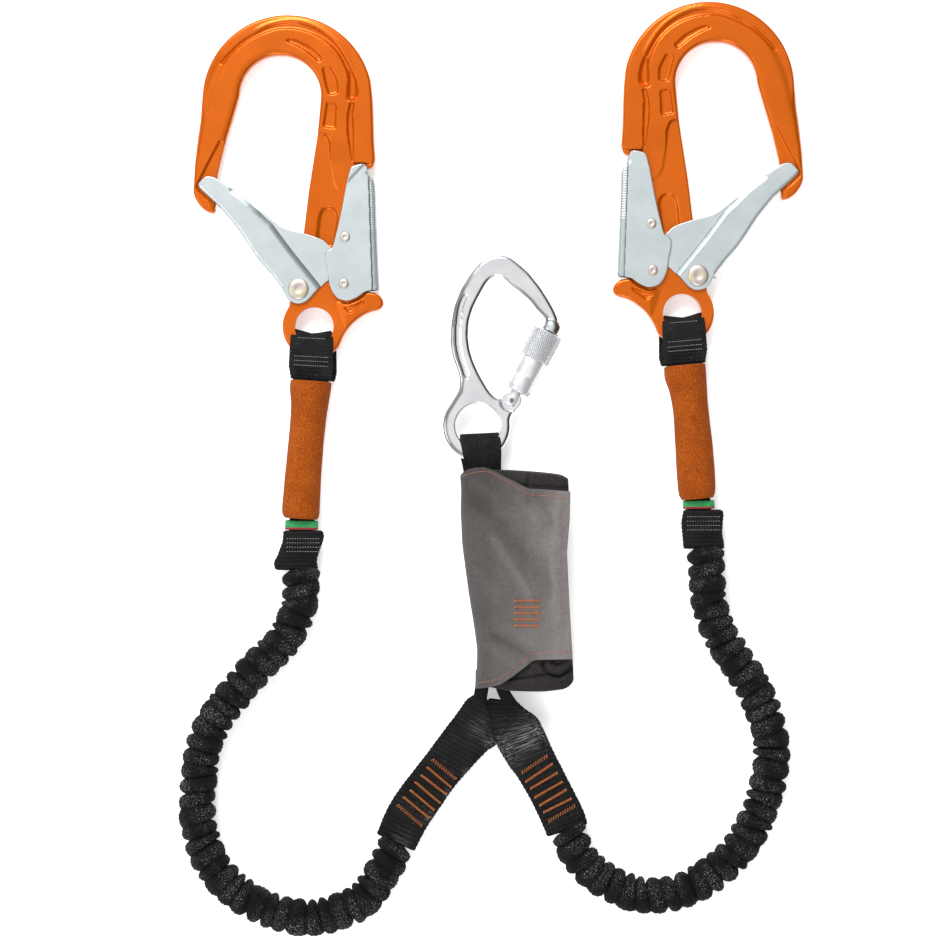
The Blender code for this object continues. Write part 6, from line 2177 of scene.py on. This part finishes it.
def cover_sheet(name, section, step):
    """A sheet whose section is in mm from the pack's left side, between the cover's cut edges."""
    line = spaced(smooth([(x * MM, z * MM) for x, z in section], 8), step)
    wide = max(point.x for point in line)
    columns = len(line) - 1
    rows = round(COVER_HEIGHT / step)
    item = flat_grid(name, columns, rows)
    for corner in item.data.vertices:
        place = line[round((corner.co.x + 0.5) * columns)]
        share = max(place.x, 0.0) / wide
        top, bottom = (value_at(edge, edge[0][0] + share * (edge[-1][0] - edge[0][0])) for edge in CUT_EDGES)
        y = top + (bottom - top) * (0.5 - corner.co.y)
        left, right = value_at(COVER_LEFT, y), value_at(COVER_RIGHT, y)
        corner.co = at(left + (right - left) * share, y, place.y)
        if place.x < 0:
            corner.co.x += place.x
        wave = noise.noise(Vector((corner.co.x, corner.co.y, 0.3 * corner.co.z)) / (26 * MM)) * 0.5 * MM
        corner.co.x += wave if share < 0.05 else 0.0
        corner.co.z += wave if share > 0.2 and place.y > 20 * MM else 0.0
    length = line_length(line)
    mapped_in_metres(item, length, COVER_HEIGHT)
    return item, length


def thickened(item, thickness):
    modifier(item, "SOLIDIFY", thickness=thickness, offset=0.0)
    bevelled(item, 0.25 * thickness, 1)
    return smooth_shaded(recalculated(item), 60)


back, back_width = cover_sheet("cover_back_sheet", BACK_SECTION, 1.5 * MM)
thickened(back, CLOTH)
wears(back, "grey_fabric")
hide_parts("cover_back")
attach(back, "absorber")

front, front_width = cover_sheet("cover_front_sheet", FRONT_SECTION, 1.0 * MM)
creased(front, FRONT_FOLDS, 30 * MM, 1.2 * MM)
# Painted shade: the panel and top shade is added to the painted shade of the folds.
shade = front.data.attributes["painted_shade"].data
for corner in front.data.vertices:
    column = corner.co.x / GRID + PACK_CENTRE[0]
    row = PACK_CENTRE[1] - corner.co.y / GRID
    at_top = value_at(TOP_SHADE, row) if column < 556 else 0.0
    shade[corner.index].value += value_at(PANEL_SHADE, column) + at_top
thickened(front, CLOTH)
wears(front, "grey_fabric")
print("cover: back", round(back_width, 3), "front", round(front_width, 3), "m across the section")

# %% [markdown]
# ### Seams of the cover
#
# The cut edges are turned under and sewn with orange thread a few millimetres inside. The stitches
# are laid on the finished cloth: each end is dropped straight down until it meets the sheet.

# %% Stitches on the cover
TOP_SEAM = [
    (461.8, 477), (466, 474.9), (475, 472.4), (484, 471.4), (491, 472.6), (500, 477.4), (514, 485.4),
    (526, 493), (531, 495), (545, 495.6), (569, 496.8),
]
BOTTOM_SEAM = [
    (477.6, 683.4), (487, 681.4), (497, 679), (508, 671.8), (521, 661.6), (530, 654.6), (536, 652.6),
    (571, 651.4),
]
TACK_PLACE = (527.0, 613.0)


def dropped(item, places):
    """Grid places dropped onto a piece from above, as points."""
    found = []
    for place in places:
        hit, point, *_ = item.ray_cast(Vector((place.x, place.y, 0.1)), Vector((0, 0, -1)))
        found.append(point if hit else Vector((place.x, place.y, 34.5 * MM)))
    return found


seams = []
for label, places in (("top", TOP_SEAM), ("bottom", BOTTOM_SEAM)):
    line = dropped(front, spaced(smooth(on_grid(places), 6), 0.9 * MM))
    line = [point + Vector((0, 0, 0.12 * MM)) for point in line]
    seams.append(dashes(f"{label}_seam", line, 1.5 * MM, 1.0 * MM, 0.2 * MM, "seam_thread"))
seams = joined("cover_seams", seams)
tacks = []
for number in range(5):
    y = TACK_PLACE[1] + (number - 2) * 6.2
    ends = dropped(front, on_grid([(TACK_PLACE[0] - 12.5, y), (TACK_PLACE[0] + 12.5, y)]))
    middle = dropped(front, on_grid([(TACK_PLACE[0], y)]))[0]
    height = max(ends[0].z, ends[1].z, middle.z) + 0.15 * MM
    start, finish_at = (Vector((end.x, end.y, 0)) for end in ends)
    tacks.append(stitch_bar(f"flap_tack_{number}", start, finish_at, height, 1.7 * MM, 0.8 * MM, 0.42 * MM))
tacks = joined("flap_bar_tacks", tacks)
for piece in (seams, tacks):
    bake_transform(piece)
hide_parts("cover_flap")
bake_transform(front)
print("pack dressed")

# %% [markdown]
# ## Sizes
#
# The box of the solids and the box of the dressed model are both printed, in millimetres.

# %% Sizes
dressed_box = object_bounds()
for name, box in (("solids", cad_box), ("dressed", dressed_box)):
    print(name, [round((high - low) * 1000, 1) for low, high in zip(*box)], "mm")
